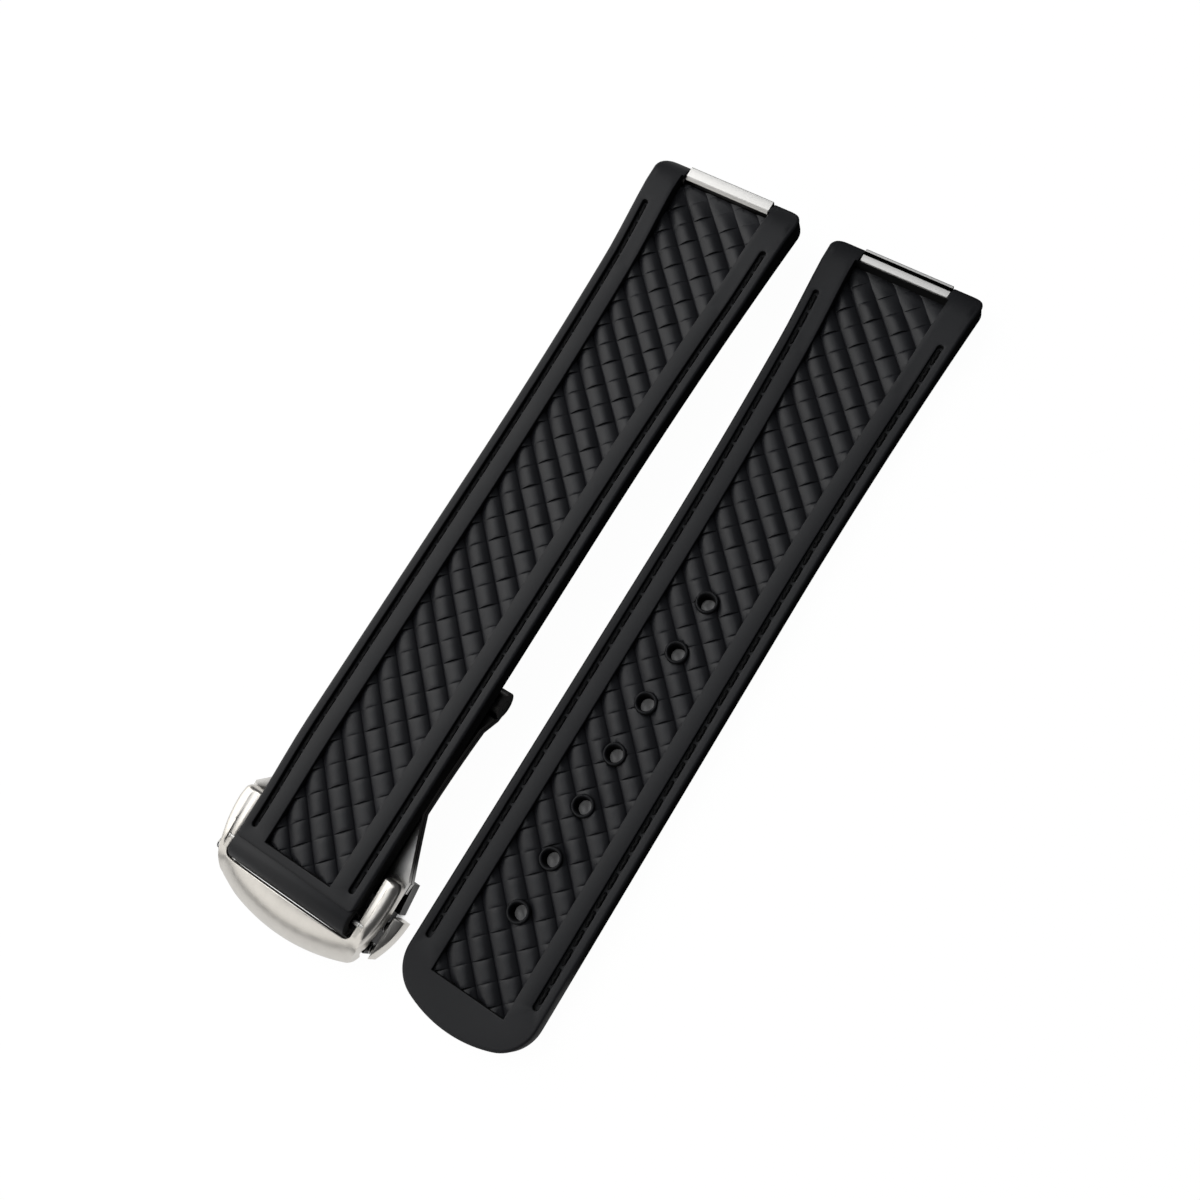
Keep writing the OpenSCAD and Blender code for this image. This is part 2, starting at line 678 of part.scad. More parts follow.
// Stud with a narrower foot riveted into its bar, and a chamfered head
module sizing_stud() color(steel) at_a() translate([0, -stud_s, 0]) rotate_extrude()
    polygon([[0, stud_bar_z], [stud_foot_r - rivet_gap, stud_bar_z],
             [stud_foot_r - rivet_gap, stud_bar_top], [stud_r, stud_bar_top],
             [stud_r, stud_bar_top + stud_h - stud_chamfer],
             [stud_r - stud_chamfer, stud_bar_top + stud_h], [0, stud_bar_top + stud_h]]);

module upper_blade() color(steel) at_a() difference() {
    union() {
        arched_blade(lower_top_z + blade_gap, block_s0 + foot_lap);
        x_rod(knuckle_r, -mid_knuckle_w / 2, mid_knuckle_w / 2, hinge_s, knuckle_r);
        s_box(-foot_half, foot_half, block_s0, block_s0 + head_len, head_low, head_top);
    }
    for (side = [left, right])
        side_box(side, mid_knuckle_w / 2, lug_w, hinge_s - beyond, hinge_s + knuckle_r + sweep_gap,
                 -past, beyond);
    x_rod(hinge_pin_r + pin_gap, -lug_w, lug_w, hinge_s, knuckle_r);
    rivet_pair(cover_rivet_s, 0, beyond, rivet_r + rivet_gap);
}

module cover_rivets() color(steel) at_a()
    rivet_pair(cover_rivet_s, head_low, head_top + rivet_reach, rivet_r);

// Side view of an ear: a rounded end, a level top and a cheek that rolls down to the nose
module ear_profile() {
    end_r = (ear_top - head_top) / 2;
    translate([-ear_s - end_r, head_top + end_r]) circle(r = end_r);
    intersection() {
        translate([-nose_s, 0]) square([nose_s - ear_s - end_r, ear_top]);
        union() {
            translate([-cheek_roll_s, nose_roll_z]) circle(r = nose_roll_r, $fn = mid_fn);
            translate([-cheek_roll_s, 0]) square([cheek_roll_s, ear_top]);
        }
        union() {
            translate([-nose_s, head_top]) square([nose_s, ear_top]);
            translate([-nose_s, cheek_low]) square([nose_s - cheek_s, ear_top]);
            translate([-nose_s, nose_edge_z]) square([nose_s - front_s1 - cover_front_gap, ear_top]);
        }
    }
}

// Front view of an ear: a round top over straight flanks
module ear_section(side) {
    top_r = ear_t / 2;
    translate([side * (ear_in + top_r), ear_top - top_r]) circle(r = top_r);
    translate([side * (ear_in + top_r) - top_r, 0]) square([ear_t, ear_top - top_r]);
}

module ear(side) intersection() {
    linear_extrude(beyond) cover_outline();
    translate([-lug_w, 0, 0]) rotate([90, 0, 90]) linear_extrude(2 * lug_w) ear_profile();
    rotate([90, 0, 0]) linear_extrude(nose_s + past) ear_section(side);
}

// Rolled nose between the ears: a shell turned about the centre of its plan arc
module nose() intersection() {
    roll_x = nose_arc_r - sqrt(pow(nose_roll_r, 2) - pow(nose_edge_z - nose_roll_z, 2));
    translate([0, -(nose_s - nose_arc_r), 0]) rotate_extrude($fn = fine_fn) intersection() {
        difference() {
            translate([roll_x, nose_roll_z]) circle(r = nose_roll_r, $fn = mid_fn);
            translate([roll_x, nose_roll_z]) circle(r = nose_roll_r - nose_t, $fn = mid_fn);
        }
        translate([nose_arc_r / 2, nose_edge_z]) square([nose_arc_r, beyond]);
    }
    s_box(-ear_in - eps, ear_in + eps, strap_a_len + roll_r + roll_gap, nose_s + past, 0, beyond);
    linear_extrude(beyond) cover_outline();
}

module clasp_cover() color(steel) at_a() difference() {
    union() {
        for (side = [left, right]) ear(side);
        nose();
    }
    for (side = [left, right]) {
        x_rod(tip_r + pin_gap, side == right ? ear_in - past : -ear_in - tip_reach - tip_end_gap,
              side == right ? ear_in + tip_reach + tip_end_gap : past - ear_in, strap_a_len, roll_z);
        side_box(side, ear_in - past, wall_out + hook_slot, hook_s0 - hook_gap, hook_s0 + hook_w + hook_gap,
                 head_top - past, tooth_z + lip_h + hook_gap);
    }
    rivet_pair(cover_rivet_s, head_top - past, head_top + rivet_reach, rivet_r + rivet_gap);
}

module spring_bar_tube() color(steel) at_a() difference() {
    x_rod(bar_tube_r, -bar_half, bar_half, strap_a_len, roll_z);
    x_rod(bar_bore_r, -lug_w, lug_w, strap_a_len, roll_z);
}

// Tip of the spring bar: a plunger in the tube, a flange to pull on, and a pivot in the ear
module spring_bar_tip(side) color(steel) at_a() {
    x_rod(tip_r, side == right ? coil_half : -ear_in - tip_reach,
          side == right ? ear_in + tip_reach : -coil_half, strap_a_len, roll_z);
    x_rod(flange_r, side == right ? flange_x - flange_t : -flange_x,
          side == right ? flange_x : flange_t - flange_x, strap_a_len, roll_z);
}

// Coil of wire along X from x0 to x1
module x_coil(coil_r, wire_r, x0, x1, turns, s, z) {
    per_turn = 12;
    sides = 6;
    n = turns * per_turn;
    points = [for (i = [0:n]) let (a = 360 * i / per_turn,
            x = x0 + wire_r + (x1 - x0 - 2 * wire_r) * i / n)
        for (j = [0:sides - 1]) let (b = 360 * j / sides, rr = coil_r + wire_r * cos(b))
            [x + wire_r * sin(b), rr * cos(a), rr * sin(a)]];
    faces = concat(
        [[for (j = [0:sides - 1]) j]],
        [for (i = [0:n - 1]) for (j = [0:sides - 1]) let (k = (j + 1) % sides)
            [i * sides + j, (i + 1) * sides + j, (i + 1) * sides + k, i * sides + k]],
        [[for (j = [sides - 1:-1:0]) n * sides + j]]);
    translate([0, -s, z]) polyhedron(points, faces, convexity = 8);
}

module spring_bar_coil() color(steel) at_a()
    x_coil(bar_bore_r - coil_wire_r - coil_gap, coil_wire_r, seat_gap - coil_half, coil_half - seat_gap,
           tip_coil_turns, strap_a_len, roll_z);

module button_springs(side) color(steel) at_a() for (s = stem_s)
    x_coil(spring_r, coil_wire_r, side == right ? wall_out + seat_gap : seat_gap - wing_in - spring_seat,
           side == right ? wing_in + spring_seat - seat_gap : -wall_out - seat_gap,
           button_coil_turns, s, stem_z);

// Button: an outer wing that leans in, two stems, and an inner plate with a tooth
module button(side) color(steel) at_a() difference() {
    union() {
        intersection() {
            linear_extrude(wing_high) intersection() {
                translate([0, -wing_center_s]) circle(r = wing_arc_r, $fn = fine_fn);
                translate([side == right ? wing_in : -wing_in - beyond, -wing_s0 - wing_len])
                    square([beyond, wing_len]);
            }
            translate([0, -nose_s, 0]) rotate([-90, 0, 0]) linear_extrude(nose_s) polygon([
                [side * (wing_in - past), -wing_low], [side * wing_arc_r, -wing_low],
                [side * (wing_arc_r - wing_lean), -wing_high], [side * (wing_in - past), -wing_high]]);
        }
        side_box(side, hook_in, hook_in + hook_plate_t, hook_s0, stem_s[1] + stem_r + plate_end,
                 hook_low, stem_z + stem_r + plate_over);
        side_box(side, hook_in, hook_in + hook_plate_t, hook_s0, hook_s0 + hook_w,
                 hook_low, tooth_z + lip_h);
        side_box(side, hook_in, hook_in + hook_plate_t + lip_reach, hook_s0, hook_s0 + hook_w,
                 tooth_z, tooth_z + lip_h);
        for (s = stem_s) x_rod(stem_r, side == right ? hook_in : -wing_in - eps,
                               side == right ? wing_in + eps : -hook_in, s, stem_z);
    }
    for (s = stem_s) difference() {
        x_rod(spring_r + coil_wire_r + seat_over, side == right ? wing_in - eps : -wing_in - spring_seat,
              side == right ? wing_in + spring_seat : eps - wing_in, s, stem_z);
        x_rod(stem_r, -lug_w, lug_w, s, stem_z);
    }
}

lower_blade();
keeper_frame();
keeper_rivets();
hinge_pin();
stud_bar_pin();
stud_bar();
sizing_stud();
upper_blade();
clasp_cover();
cover_rivets();
spring_bar_tube();
spring_bar_coil();
spring_bar_tip(left);  // spring_bar_tip_left
spring_bar_tip(right);  // spring_bar_tip_right
button(left);  // button_left
button(right);  // button_right
button_springs(left);  // button_springs_left
button_springs(right);  // button_springs_right
strap_a_rubber();
strap_a_weave();
strap_a_stitches(left);  // strap_a_stitches_left
strap_a_stitches(right);  // strap_a_stitches_right
strap_a_lug_bar();
strap_b_rubber();
strap_b_weave();
strap_b_stitches(left);  // strap_b_stitches_left
strap_b_stitches(right);  // strap_b_stitches_right
strap_b_lug_bar();
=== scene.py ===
# %% [markdown]
# # A two-piece rubber watch strap with a folding clasp
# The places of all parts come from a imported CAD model, which is loaded first and never
# moved. Blender gives the finish: moulded rubber, a woven inlay, stitches and steel. Hidden
# parts, such as pins and springs, stay as the CAD made them and only get a material.
# Lengths below are in millimetres and become metres where a mesh is made.

# %% Load the frame
import bpy, bmesh, json, math, random
from mathutils import Matrix, Vector
from mathutils.geometry import delaunay_2d_cdt


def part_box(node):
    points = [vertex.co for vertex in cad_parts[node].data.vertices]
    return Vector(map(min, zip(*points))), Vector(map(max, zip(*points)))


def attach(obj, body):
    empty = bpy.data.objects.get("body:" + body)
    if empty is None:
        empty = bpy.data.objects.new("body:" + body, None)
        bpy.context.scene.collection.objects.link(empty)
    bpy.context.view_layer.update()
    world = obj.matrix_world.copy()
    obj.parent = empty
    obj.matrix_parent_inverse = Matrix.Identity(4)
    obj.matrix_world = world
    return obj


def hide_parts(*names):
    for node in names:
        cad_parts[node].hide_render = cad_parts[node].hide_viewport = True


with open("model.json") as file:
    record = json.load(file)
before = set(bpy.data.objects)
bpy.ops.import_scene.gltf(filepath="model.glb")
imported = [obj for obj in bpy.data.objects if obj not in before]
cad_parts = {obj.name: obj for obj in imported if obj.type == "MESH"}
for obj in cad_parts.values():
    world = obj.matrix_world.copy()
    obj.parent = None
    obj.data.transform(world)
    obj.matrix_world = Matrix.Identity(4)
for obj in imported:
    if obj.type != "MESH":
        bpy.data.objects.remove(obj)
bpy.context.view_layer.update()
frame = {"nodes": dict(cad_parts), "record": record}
MM = 0.001

# %% [markdown]
# ## Where the two halves are
# Every place on a half is told by x across it, s along it from the lug end, and z over the
# table. The CAD boxes give the centre line, the lug end and the underside of each half, so
# nothing has to be measured twice.

# %% Places of the two halves
NARROW_S, NARROW_LONG, NARROW_SHARE = 84, 14, 0.055

def smooth(t):
    """An S-shaped step from 0 to 1."""
    t = min(1.0, max(0.0, t))
    return t * t * (3 - 2 * t)


class Half:
    """One half of the strap: turns x, s, z in millimetres into a point in metres."""
    def __init__(self, node, below=0.0):
        low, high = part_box(node)
        self.clasp = below > 0
        self.x = (low.x + high.x) / 2 / MM
        self.lug_y = high.y / MM
        self.z = low.z / MM + below
        self.length = (high.y - low.y) / MM

    def at(self, x, s, z):
        across = self.x + x * self.narrow(x, s)
        return Vector((across * MM, (self.lug_y - s) * MM, (self.z + z) * MM))

    def narrow(self, x, s):
        """The clasp half's left side draws in a little on its way into the clasp."""
        if x > 0 or not self.clasp:
            return 1.0
        return 1 - NARROW_SHARE * smooth((s - NARROW_S) / NARROW_LONG)


ROLL_R, ROLL_Z, ROLL_BORE = 2.0, 0.75, 0.85
HALF_A = Half("strap_a_rubber", ROLL_R - ROLL_Z)
HALF_B = Half("strap_b_rubber")
ROLL_S = HALF_A.length - ROLL_R
STRAP_T, LUG_RISE, LUG_ROUND, RISE_START, NOSE_Z = 2.7, 0.9, 4.0, 16.0, 1.3
LUG_HALF, TAIL_HALF, TAPER = 10.5, 9.0, 48.0
BORDER, PANEL_Z = 3.95, 1.3

def half_width(s):
    """Half the strap's width at a distance s from the lug end."""
    return TAIL_HALF + (LUG_HALF - TAIL_HALF) * max(0.0, 1 - s / TAPER) ** 2

def top_height(s):
    """Height of the rails: thicker at the lug end, where it rounds off to a blunt nose."""
    z = STRAP_T + LUG_RISE * smooth((RISE_START - s) / (RISE_START - LUG_ROUND))
    if s < LUG_ROUND:
        back = 1 - max(0.0, s) / LUG_ROUND
        z = NOSE_Z + (z - NOSE_Z) * math.sqrt(max(0.0, 1 - back * back))
    return z

for word, half in (("A", HALF_A), ("B", HALF_B)):
    print("half", word, "centre line", round(half.x, 2), "lug end", round(half.lug_y, 2))

# %% [markdown]
# ## The camera
# The camera stands where the photograph's outlines put it: above the table, to the right and
# near the tip. Its place, its view line and its focal length came from fitting the holes and
# the straps' edges, and here they are only written down. The middle of the picture is a few
# pixels off the view line, so the lens gets a very small shift.

# %% Camera
PHOTO, SENSOR = 1200, 36
FOCAL_PX, CENTRE_PX = 1285.9, (603.1, 599.1)
CAMERA_PLACE = Vector((49.073, -24.179, 148.336))
CAMERA_LOOK, CAMERA_UP = Vector((-0.3021, 0.15, -0.9414)), Vector((-0.4656, 0.8385, 0.283))
CLIP_NEAR, CLIP_FAR = 0.005, 5

cam_data = bpy.data.cameras.new("camera")
camera = bpy.data.objects.new("camera", cam_data)
bpy.context.scene.collection.objects.link(camera)
bpy.context.scene.camera = camera
cam_data.sensor_fit = "HORIZONTAL"
cam_data.sensor_width = SENSOR
cam_data.lens = FOCAL_PX / PHOTO * SENSOR
cam_data.shift_x = (PHOTO / 2 - CENTRE_PX[0]) / PHOTO
cam_data.shift_y = (CENTRE_PX[1] - PHOTO / 2) / PHOTO
cam_data.clip_start, cam_data.clip_end = CLIP_NEAR, CLIP_FAR
look = CAMERA_LOOK.normalized()
side = look.cross(CAMERA_UP).normalized()
up = side.cross(look)
camera.matrix_world = (Matrix.Translation(CAMERA_PLACE * MM)
                       @ Matrix((side, up, -look)).transposed().to_4x4())
print("camera", [round(v, 4) for v in camera.location])

# %% [markdown]
# ## Materials as expressions
# A material is a graph of nodes. Made node by node it is long and hard to read, so one small
# class stands for a node's output and knows plus, minus, times and compare: each of them
# adds a Math node. A second class makes any node from its type, its settings and its inputs.

# %% Node helper
class Socket:
    """A shader value that can be added, subtracted, multiplied and compared."""
    def __init__(self, graph, link):
        self.graph, self.link = graph, link

    def _math(self, operation, first, second=0.0):
        return self.graph.node("ShaderNodeMath", {"operation": operation}, {0: first, 1: second})

    def __add__(self, other): return self._math("ADD", self, other)
    def __radd__(self, other): return self._math("ADD", other, self)
    def __sub__(self, other): return self._math("SUBTRACT", self, other)
    def __rsub__(self, other): return self._math("SUBTRACT", other, self)
    def __mul__(self, other): return self._math("MULTIPLY", self, other)
    def __lt__(self, other): return self._math("LESS_THAN", self, other)
    def __abs__(self): return self._math("ABSOLUTE", self)


class Graph:
    """A material's node tree, written as expressions."""
    def __init__(self, name):
        self.material = bpy.data.materials.new(name)
        self.material.use_nodes = True
        self.tree = self.material.node_tree
        self.tree.nodes.clear()
        self.output = self.tree.nodes.new("ShaderNodeOutputMaterial")

    def node(self, kind, settings=None, inputs=None, out=0):
        """Any node: its settings are set first, then its sockets get values or links."""
        made = self.tree.nodes.new(kind)
        for key, value in (settings or {}).items():
            setattr(made, key, value)
        for key, value in (inputs or {}).items():
            if isinstance(value, Socket):
                self.tree.links.new(value.link, made.inputs[key])
            else:
                made.inputs[key].default_value = value
        return Socket(self, made.outputs[out])

    def mix(self, factor, first, second):
        """Colour mix: the Mix node's colour sockets are numbers 6 and 7."""
        return self.node("ShaderNodeMix", {"data_type": "RGBA"},
                         {0: factor, 6: first, 7: second}, out=2)

    def point(self):
        return self.node("ShaderNodeTexCoord", out="Object")

    def part(self, vector, axis):
        return self.node("ShaderNodeSeparateXYZ", None, {0: vector}, out=axis)

    def noise(self, scale, detail=3.0, rough=0.5, where=None):
        inputs = {"Vector": where or self.point(), "Scale": scale, "Detail": detail,
                  "Roughness": rough}
        return self.node("ShaderNodeTexNoise", None, inputs)

    def step(self, value, start, stop, low=0.0, high=1.0):
        """A soft step: low at start, high at stop."""
        inputs = {"Value": value, "From Min": start, "From Max": stop, "To Min": low,
                  "To Max": high}
        return self.node("ShaderNodeMapRange", {"interpolation_type": "SMOOTHSTEP"}, inputs)

    def openness(self, distance, samples):
        """1 where nothing stands close by, less in corners and gaps."""
        return self.node("ShaderNodeAmbientOcclusion", {"samples": samples},
                         {"Distance": distance}, out="AO")

    def bump(self, height, distance, strength=1.0):
        return self.node("ShaderNodeBump", None,
                         {"Strength": strength, "Distance": distance, "Height": height})

    def surface(self, **inputs):
        shader = self.node("ShaderNodeBsdfPrincipled", None,
                           {key.replace("_", " "): value for key, value in inputs.items()})
        self.tree.links.new(shader.link, self.output.inputs["Surface"])
        return self.material


def rgb(r, g, b):
    return (r, g, b, 1.0)


def tint(colour, share):
    """A colour made lighter or darker."""
    return rgb(*[min(1, c * share) for c in colour])

print("helpers", Socket.__name__, Graph.__name__)

# %% [markdown]
# ## Floor and light
# The floor is one sheet of white paper. To the camera it also glows a little, so it stays
# pure white as in the photograph, but not close to the object, where the soft shadow has to
# show: ambient occlusion tells how close that is. Under the clasp the glow is cut and under
# the holes it is dimmed, as painted shadow. Mirrored in steel the paper glows only at the left
# and in front, because lamps that light everything make steel look like plaster; elsewhere
# mirrors see it nearly black, a painted dark reflection. Three large soft lamps stand at the
# upper left, overhead and in front. They leave the right flank of every rib and rail dark.

# %% Floor and lamps
PAPER_REACH, PAPER_SINK, PAPER_GLOW = 1.5, 0.0002, 1.15
NEAR_REACH, NEAR_STEP, NEAR_GLOW = 0.0018, (0.25, 0.42), (0.0, 0.85)
MIRROR_X, MIRROR_Y, MIRROR_GLOW = (-0.020, -0.024), (-0.038, -0.043), (0.01, 0.8)
# Boxes of painted shadow on the floor: no glow under the clasp, and less glow under the holes.
CLASP_Y, CLASP_REACH = -45.7, (0.0103, 0.0052)
HOLES_Y, HOLES_REACH, HOLES_SHADOW_DARK = -16, (0.003, 0.024), 0.72

def white_paper():
    """White paper that glows for the camera, away from the object."""
    g = Graph("floor_paper")
    ray, glossy, through = [g.node("ShaderNodeLightPath", out=f"Is {kind} Ray")
                            for kind in ("Camera", "Glossy", "Transmission")]
    clear = g.step(g.openness(NEAR_REACH, 16), *NEAR_STEP, *NEAR_GLOW)
    place = g.node("ShaderNodeNewGeometry", out="Position")
    x, y = g.part(place, "X"), g.part(place, "Y")
    left, front = g.step(x, *MIRROR_X, *MIRROR_GLOW), g.step(y, *MIRROR_Y, *MIRROR_GLOW)
    lit = g.node("ShaderNodeMath", {"operation": "MAXIMUM"}, {0: left, 1: front})

    def box(middle, reach):
        """1 inside a rectangle of the floor."""
        return (abs(x - middle[0] * MM) < reach[0]) * (abs(y - middle[1] * MM) < reach[1])

    # Painted shadow: the paper's glow is cut under the clasp and dimmed under the holes.
    clasp_shadow_box = box((HALF_A.x, CLASP_Y), CLASP_REACH)
    holes_shadow_box = box((HALF_B.x, HOLES_Y), HOLES_REACH)
    seen = (ray + through + glossy * lit) * clear
    seen = seen * (1 - clasp_shadow_box) * (1 - holes_shadow_box * HOLES_SHADOW_DARK)
    # Seen in mirrors the paper is painted nearly black, a painted dark reflection; for diffuse
    # bounce it is mid grey.
    tone = g.mix(glossy, rgb(0.3, 0.3, 0.3), rgb(0.02, 0.02, 0.02))
    paper = g.node("ShaderNodeBsdfDiffuse", None, {"Color": tone})
    glow = g.node("ShaderNodeEmission", None, {"Color": rgb(1, 1, 1), "Strength": PAPER_GLOW})
    both = g.node("ShaderNodeMixShader", None, {0: seen, 1: paper, 2: glow})
    g.tree.links.new(both.link, g.output.inputs["Surface"])
    return g.material


def lamp(name, place, target, size, power, colour):
    """A rectangular lamp that looks at a target."""
    data = bpy.data.lights.new(name, "AREA")
    data.shape, data.size, data.size_y = "RECTANGLE", size[0], size[1]
    data.energy, data.color = power, colour
    made = bpy.data.objects.new(name, data)
    bpy.context.scene.collection.objects.link(made)
    made.location = place
    made.rotation_mode = "QUATERNION"
    made.rotation_quaternion = (Vector(target) - Vector(place)).to_track_quat("-Z", "Y")


floor_mesh = bpy.data.meshes.new("floor")
corners = [(x * PAPER_REACH, y * PAPER_REACH, 0) for x, y in ((-1, -1), (1, -1), (1, 1), (-1, 1))]
floor_mesh.from_pydata(corners, [], [(0, 1, 2, 3)])
floor = bpy.data.objects.new("floor", floor_mesh)
bpy.context.scene.collection.objects.link(floor)
floor.location.z = -PAPER_SINK
floor_mesh.materials.append(white_paper())

world = bpy.data.worlds.new("studio")
bpy.context.scene.world = world
world.use_nodes = True
world.node_tree.nodes["Background"].inputs[0].default_value = rgb(0.93, 0.95, 1.0)
world.node_tree.nodes["Background"].inputs[1].default_value = 0.06
bpy.context.scene.view_settings.view_transform = "Standard"

lamp("key", (-0.62, 0.05, 0.34), (0, 0, 0), (0.75, 1.10), 4.2, (1, 0.985, 0.96))
lamp("overhead", (-0.22, 0.12, 0.62), (0, 0, 0), (0.60, 0.60), 1.1, (0.95, 0.97, 1))
lamp("front", (-0.22, -0.55, 0.36), (0, -0.03, 0), (0.80, 0.50), 1.2, (1, 0.99, 0.97))
print("lamps", len(bpy.data.lights))

# %% [markdown]
# ## Rubber and steel
# Rubber is nearly black, with a fine grain in the bump and broad, faint changes of tone and
# gloss. Faces that stand upright get painted shade: their colour is darkened to near black
# and they turn rougher. Steel is brushed: noise stretched along one direction feeds colour,
# roughness and bump together. In narrow gaps brushed steel gets painted shade in its colour,
# which stands in for the dark things a real one mirrors there. The CAD's own pieces that stay
# in the picture get the same materials as the new meshes.

# %% Materials
# Painted shade on upright faces: below this normal height the rubber's colour goes near black.
UPRIGHT_SHADE = (0.6, 0.1)
# Painted shade for brushed steel: where ambient occlusion is low, in gaps, its colour drops to a
# small share.
GAP_REACH, GAP_SAMPLES, GAP_STEP, GAP_DARK = 0.004, 12, (0.45, 0.75), 0.06

def rubber(name, colour, rough, grain=0.00002):
    g = Graph(name)
    fine, broad = g.noise(2600, 3, 0.6), g.noise(160, 2)
    tone = g.mix(broad, tint(colour, 0.8), tint(colour, 1.25))
    facing = g.part(g.node("ShaderNodeNewGeometry", out="Normal"), "Z")
    # Painted shade: faces that stand upright take a fifth of the rubber's colour.
    wall = g.step(facing, *UPRIGHT_SHADE)
    return g.surface(Base_Color=g.mix(wall, tone, tint(colour, 0.2)),
                     Roughness=rough + (broad - 0.5) * 0.16 + wall * 0.3,
                     Specular_IOR_Level=0.32, Normal=g.bump(fine, grain, 0.5))


def steel(name, colour, rough, lines=None, depth=0.000004):
    """Steel with fine brushing where lines are given, and a fine satin grain elsewhere."""
    g = Graph(name)
    if lines:
        place = g.node("ShaderNodeMapping", {"vector_type": "POINT"},
                       {"Vector": g.point(), "Scale": lines})
        hair = g.noise(1.0, 4.0, 0.7, place)
    else:
        hair, depth = g.noise(900, 2, 0.5), depth * 0.1
    smear = g.noise(300, 2)
    tone = g.mix(hair, tint(colour, 0.86), tint(colour, 1.08))
    if lines:
        # Painted shade: brushed steel darkens in narrow gaps, for the dark things a real one
        # mirrors there.
        gap_unshaded = g.step(g.openness(GAP_REACH, GAP_SAMPLES), *GAP_STEP)
        tone = g.mix(gap_unshaded, tint(colour, GAP_DARK), tone)
    return g.surface(Base_Color=tone, Metallic=1.0,
                     Roughness=rough + (hair - 0.5) * 0.14 + (smear - 0.5) * 0.06,
                     Normal=g.bump(hair, depth, 0.6))


MATERIALS = {
    "rubber_black": rubber("rubber_black", (0.0138, 0.0144, 0.0166), 0.52),
    "rubber_woven": rubber("rubber_woven", (0.0152, 0.0158, 0.0185), 0.40, 0.00003),
    "thread_black": rubber("thread_black", (0.003, 0.003, 0.0035), 0.75, 0.00005),
    "steel_brushed": steel("steel_brushed", (0.62, 0.61, 0.59), 0.34, (300, 9000, 9000)),
    "steel_dark": steel("steel_dark", (0.11, 0.11, 0.105), 0.38, (9000, 300, 9000)),
    "steel_polished": steel("steel_polished", (0.78, 0.75, 0.70), 0.33),
    "spring_steel": steel("spring_steel", (0.55, 0.55, 0.54), 0.3),
}
for row in frame["record"]["subparts"]:
    for place in frame["nodes"][row["node"]].material_slots:
        place.material = MATERIALS[row["material_slot"]]
print("materials", len(MATERIALS), "finished nodes", len(frame["nodes"]))

# %% [markdown]
# ## Plans that become rubber
# Each half is a plate with grooves, a pocket for the inlay and, on one half, seven holes.
# A sculpted plate like this is easiest as a plan: lines are drawn where the height changes,
# a Delaunay fill puts triangles between them, and one function gives the height at any
# point. The lines lie close together at each lip, so edges look moulded and not cut.

# %% Sizes of the plan
EDGE_R, LIP, WALL, LIP_DROP = 0.35, 0.10, 0.02, 0.06
STEP = 2.4
BAR_SEAT_HALF, BAR_SEAT_Z = 6.05, 0.3
GROOVE_MID, GROOVE_HALF, GROOVE_DEEP = 1.5, 0.4, 0.7
TIP_X, TIP_S, TIP_R, END_S, END_R = 4.0, 101.247, 5.0, 91.0, 16.0
TIP_TURN = math.atan2(TIP_S - END_S, TIP_X)
HOLES = [49.7 + 7 * i for i in range(7)]
RIM_PROFILE = [(0.90, 1.35), (0.93, 1.75), (0.99, 2.18), (1.05, 2.38), (1.12, 2.49), (1.20, 2.53),
               (1.28, 2.50), (1.35, 2.42), (1.39, 2.28), (1.41, 1.30)]
BORE_R = RIM_PROFILE[0][0]

HALF_A.panel, HALF_A.groove, HALF_A.holes, HALF_A.end = (2.2, 98.8), (7.2, 98.1), [], 100.0
HALF_B.panel, HALF_B.groove, HALF_B.holes, HALF_B.end = (2.6, 102.3), (8.3, 99.6), HOLES, None
HALF_A.corner, HALF_B.corner = 2.3, 1.8

def span(low, high, step=STEP):
    """Evenly spread values from low to high, both of them included."""
    count = max(1, round((high - low) / step))
    return [low + (high - low) * i / count for i in range(count + 1)]


def arc(x, s, radius, start, stop, count=8):
    """Points on an arc, from one angle to another."""
    return [(x + radius * math.cos(start + (stop - start) * i / count),
             s + radius * math.sin(start + (stop - start) * i / count)) for i in range(count + 1)]


print("holes", len(HOLES), "spacing", HOLES[1] - HOLES[0])

# %% [markdown]
# ## The lines of the plan
# The outline has round shoulders at the lug end. Strap A ends square at the clasp, strap B
# in a rounded tip of two arcs. A line that is drawn again a little further inside gives the
# fill a row of points for the rounded edge. The grooves follow the edge at a fixed distance.

# %% Lines of the plan
def outline(half, inset):
    """The plan outline as x, s points, moved inwards, all the way round."""
    lug_x = half_width(half.corner) - half.corner
    right = [(x, inset) for x in span(0, BAR_SEAT_HALF - WALL, 1.0)[1:]]
    right += [(BAR_SEAT_HALF + d, inset) for d in (0, LIP / 2, LIP)]
    right += [(x, inset) for x in span(BAR_SEAT_HALF + LIP, lug_x, 0.8)[1:-1]]
    right += arc(lug_x, half.corner, half.corner - inset, -math.pi / 2, 0)
    if half.end:
        side_end, turn_r = half.end - half.corner / 2, half.corner / 2
        right += [(half_width(s) - inset, s) for s in span(half.corner, side_end)[1:-1]]
        right += arc(half_width(side_end) - turn_r, side_end, turn_r - inset, 0, math.pi / 2)
        end_line = span(0, half_width(side_end) - turn_r, 1.2)[-2:0:-1]
        right += [(x, half.end - inset) for x in end_line]
        far = [(0, half.end - inset)]
    else:
        right += [(half_width(s) - inset, s) for s in span(half.corner, TIP_S)[1:-1]]
        right += arc(TIP_X, TIP_S, TIP_R - inset, 0, TIP_TURN, 14)
        right += arc(0, END_S, END_R - inset, TIP_TURN, math.pi / 2, 10)[1:-1]
        far = [(0, END_S + END_R - inset)]
    left = [(-x, s) for x, s in reversed(right)]
    return [(0, inset)] + right + far + left


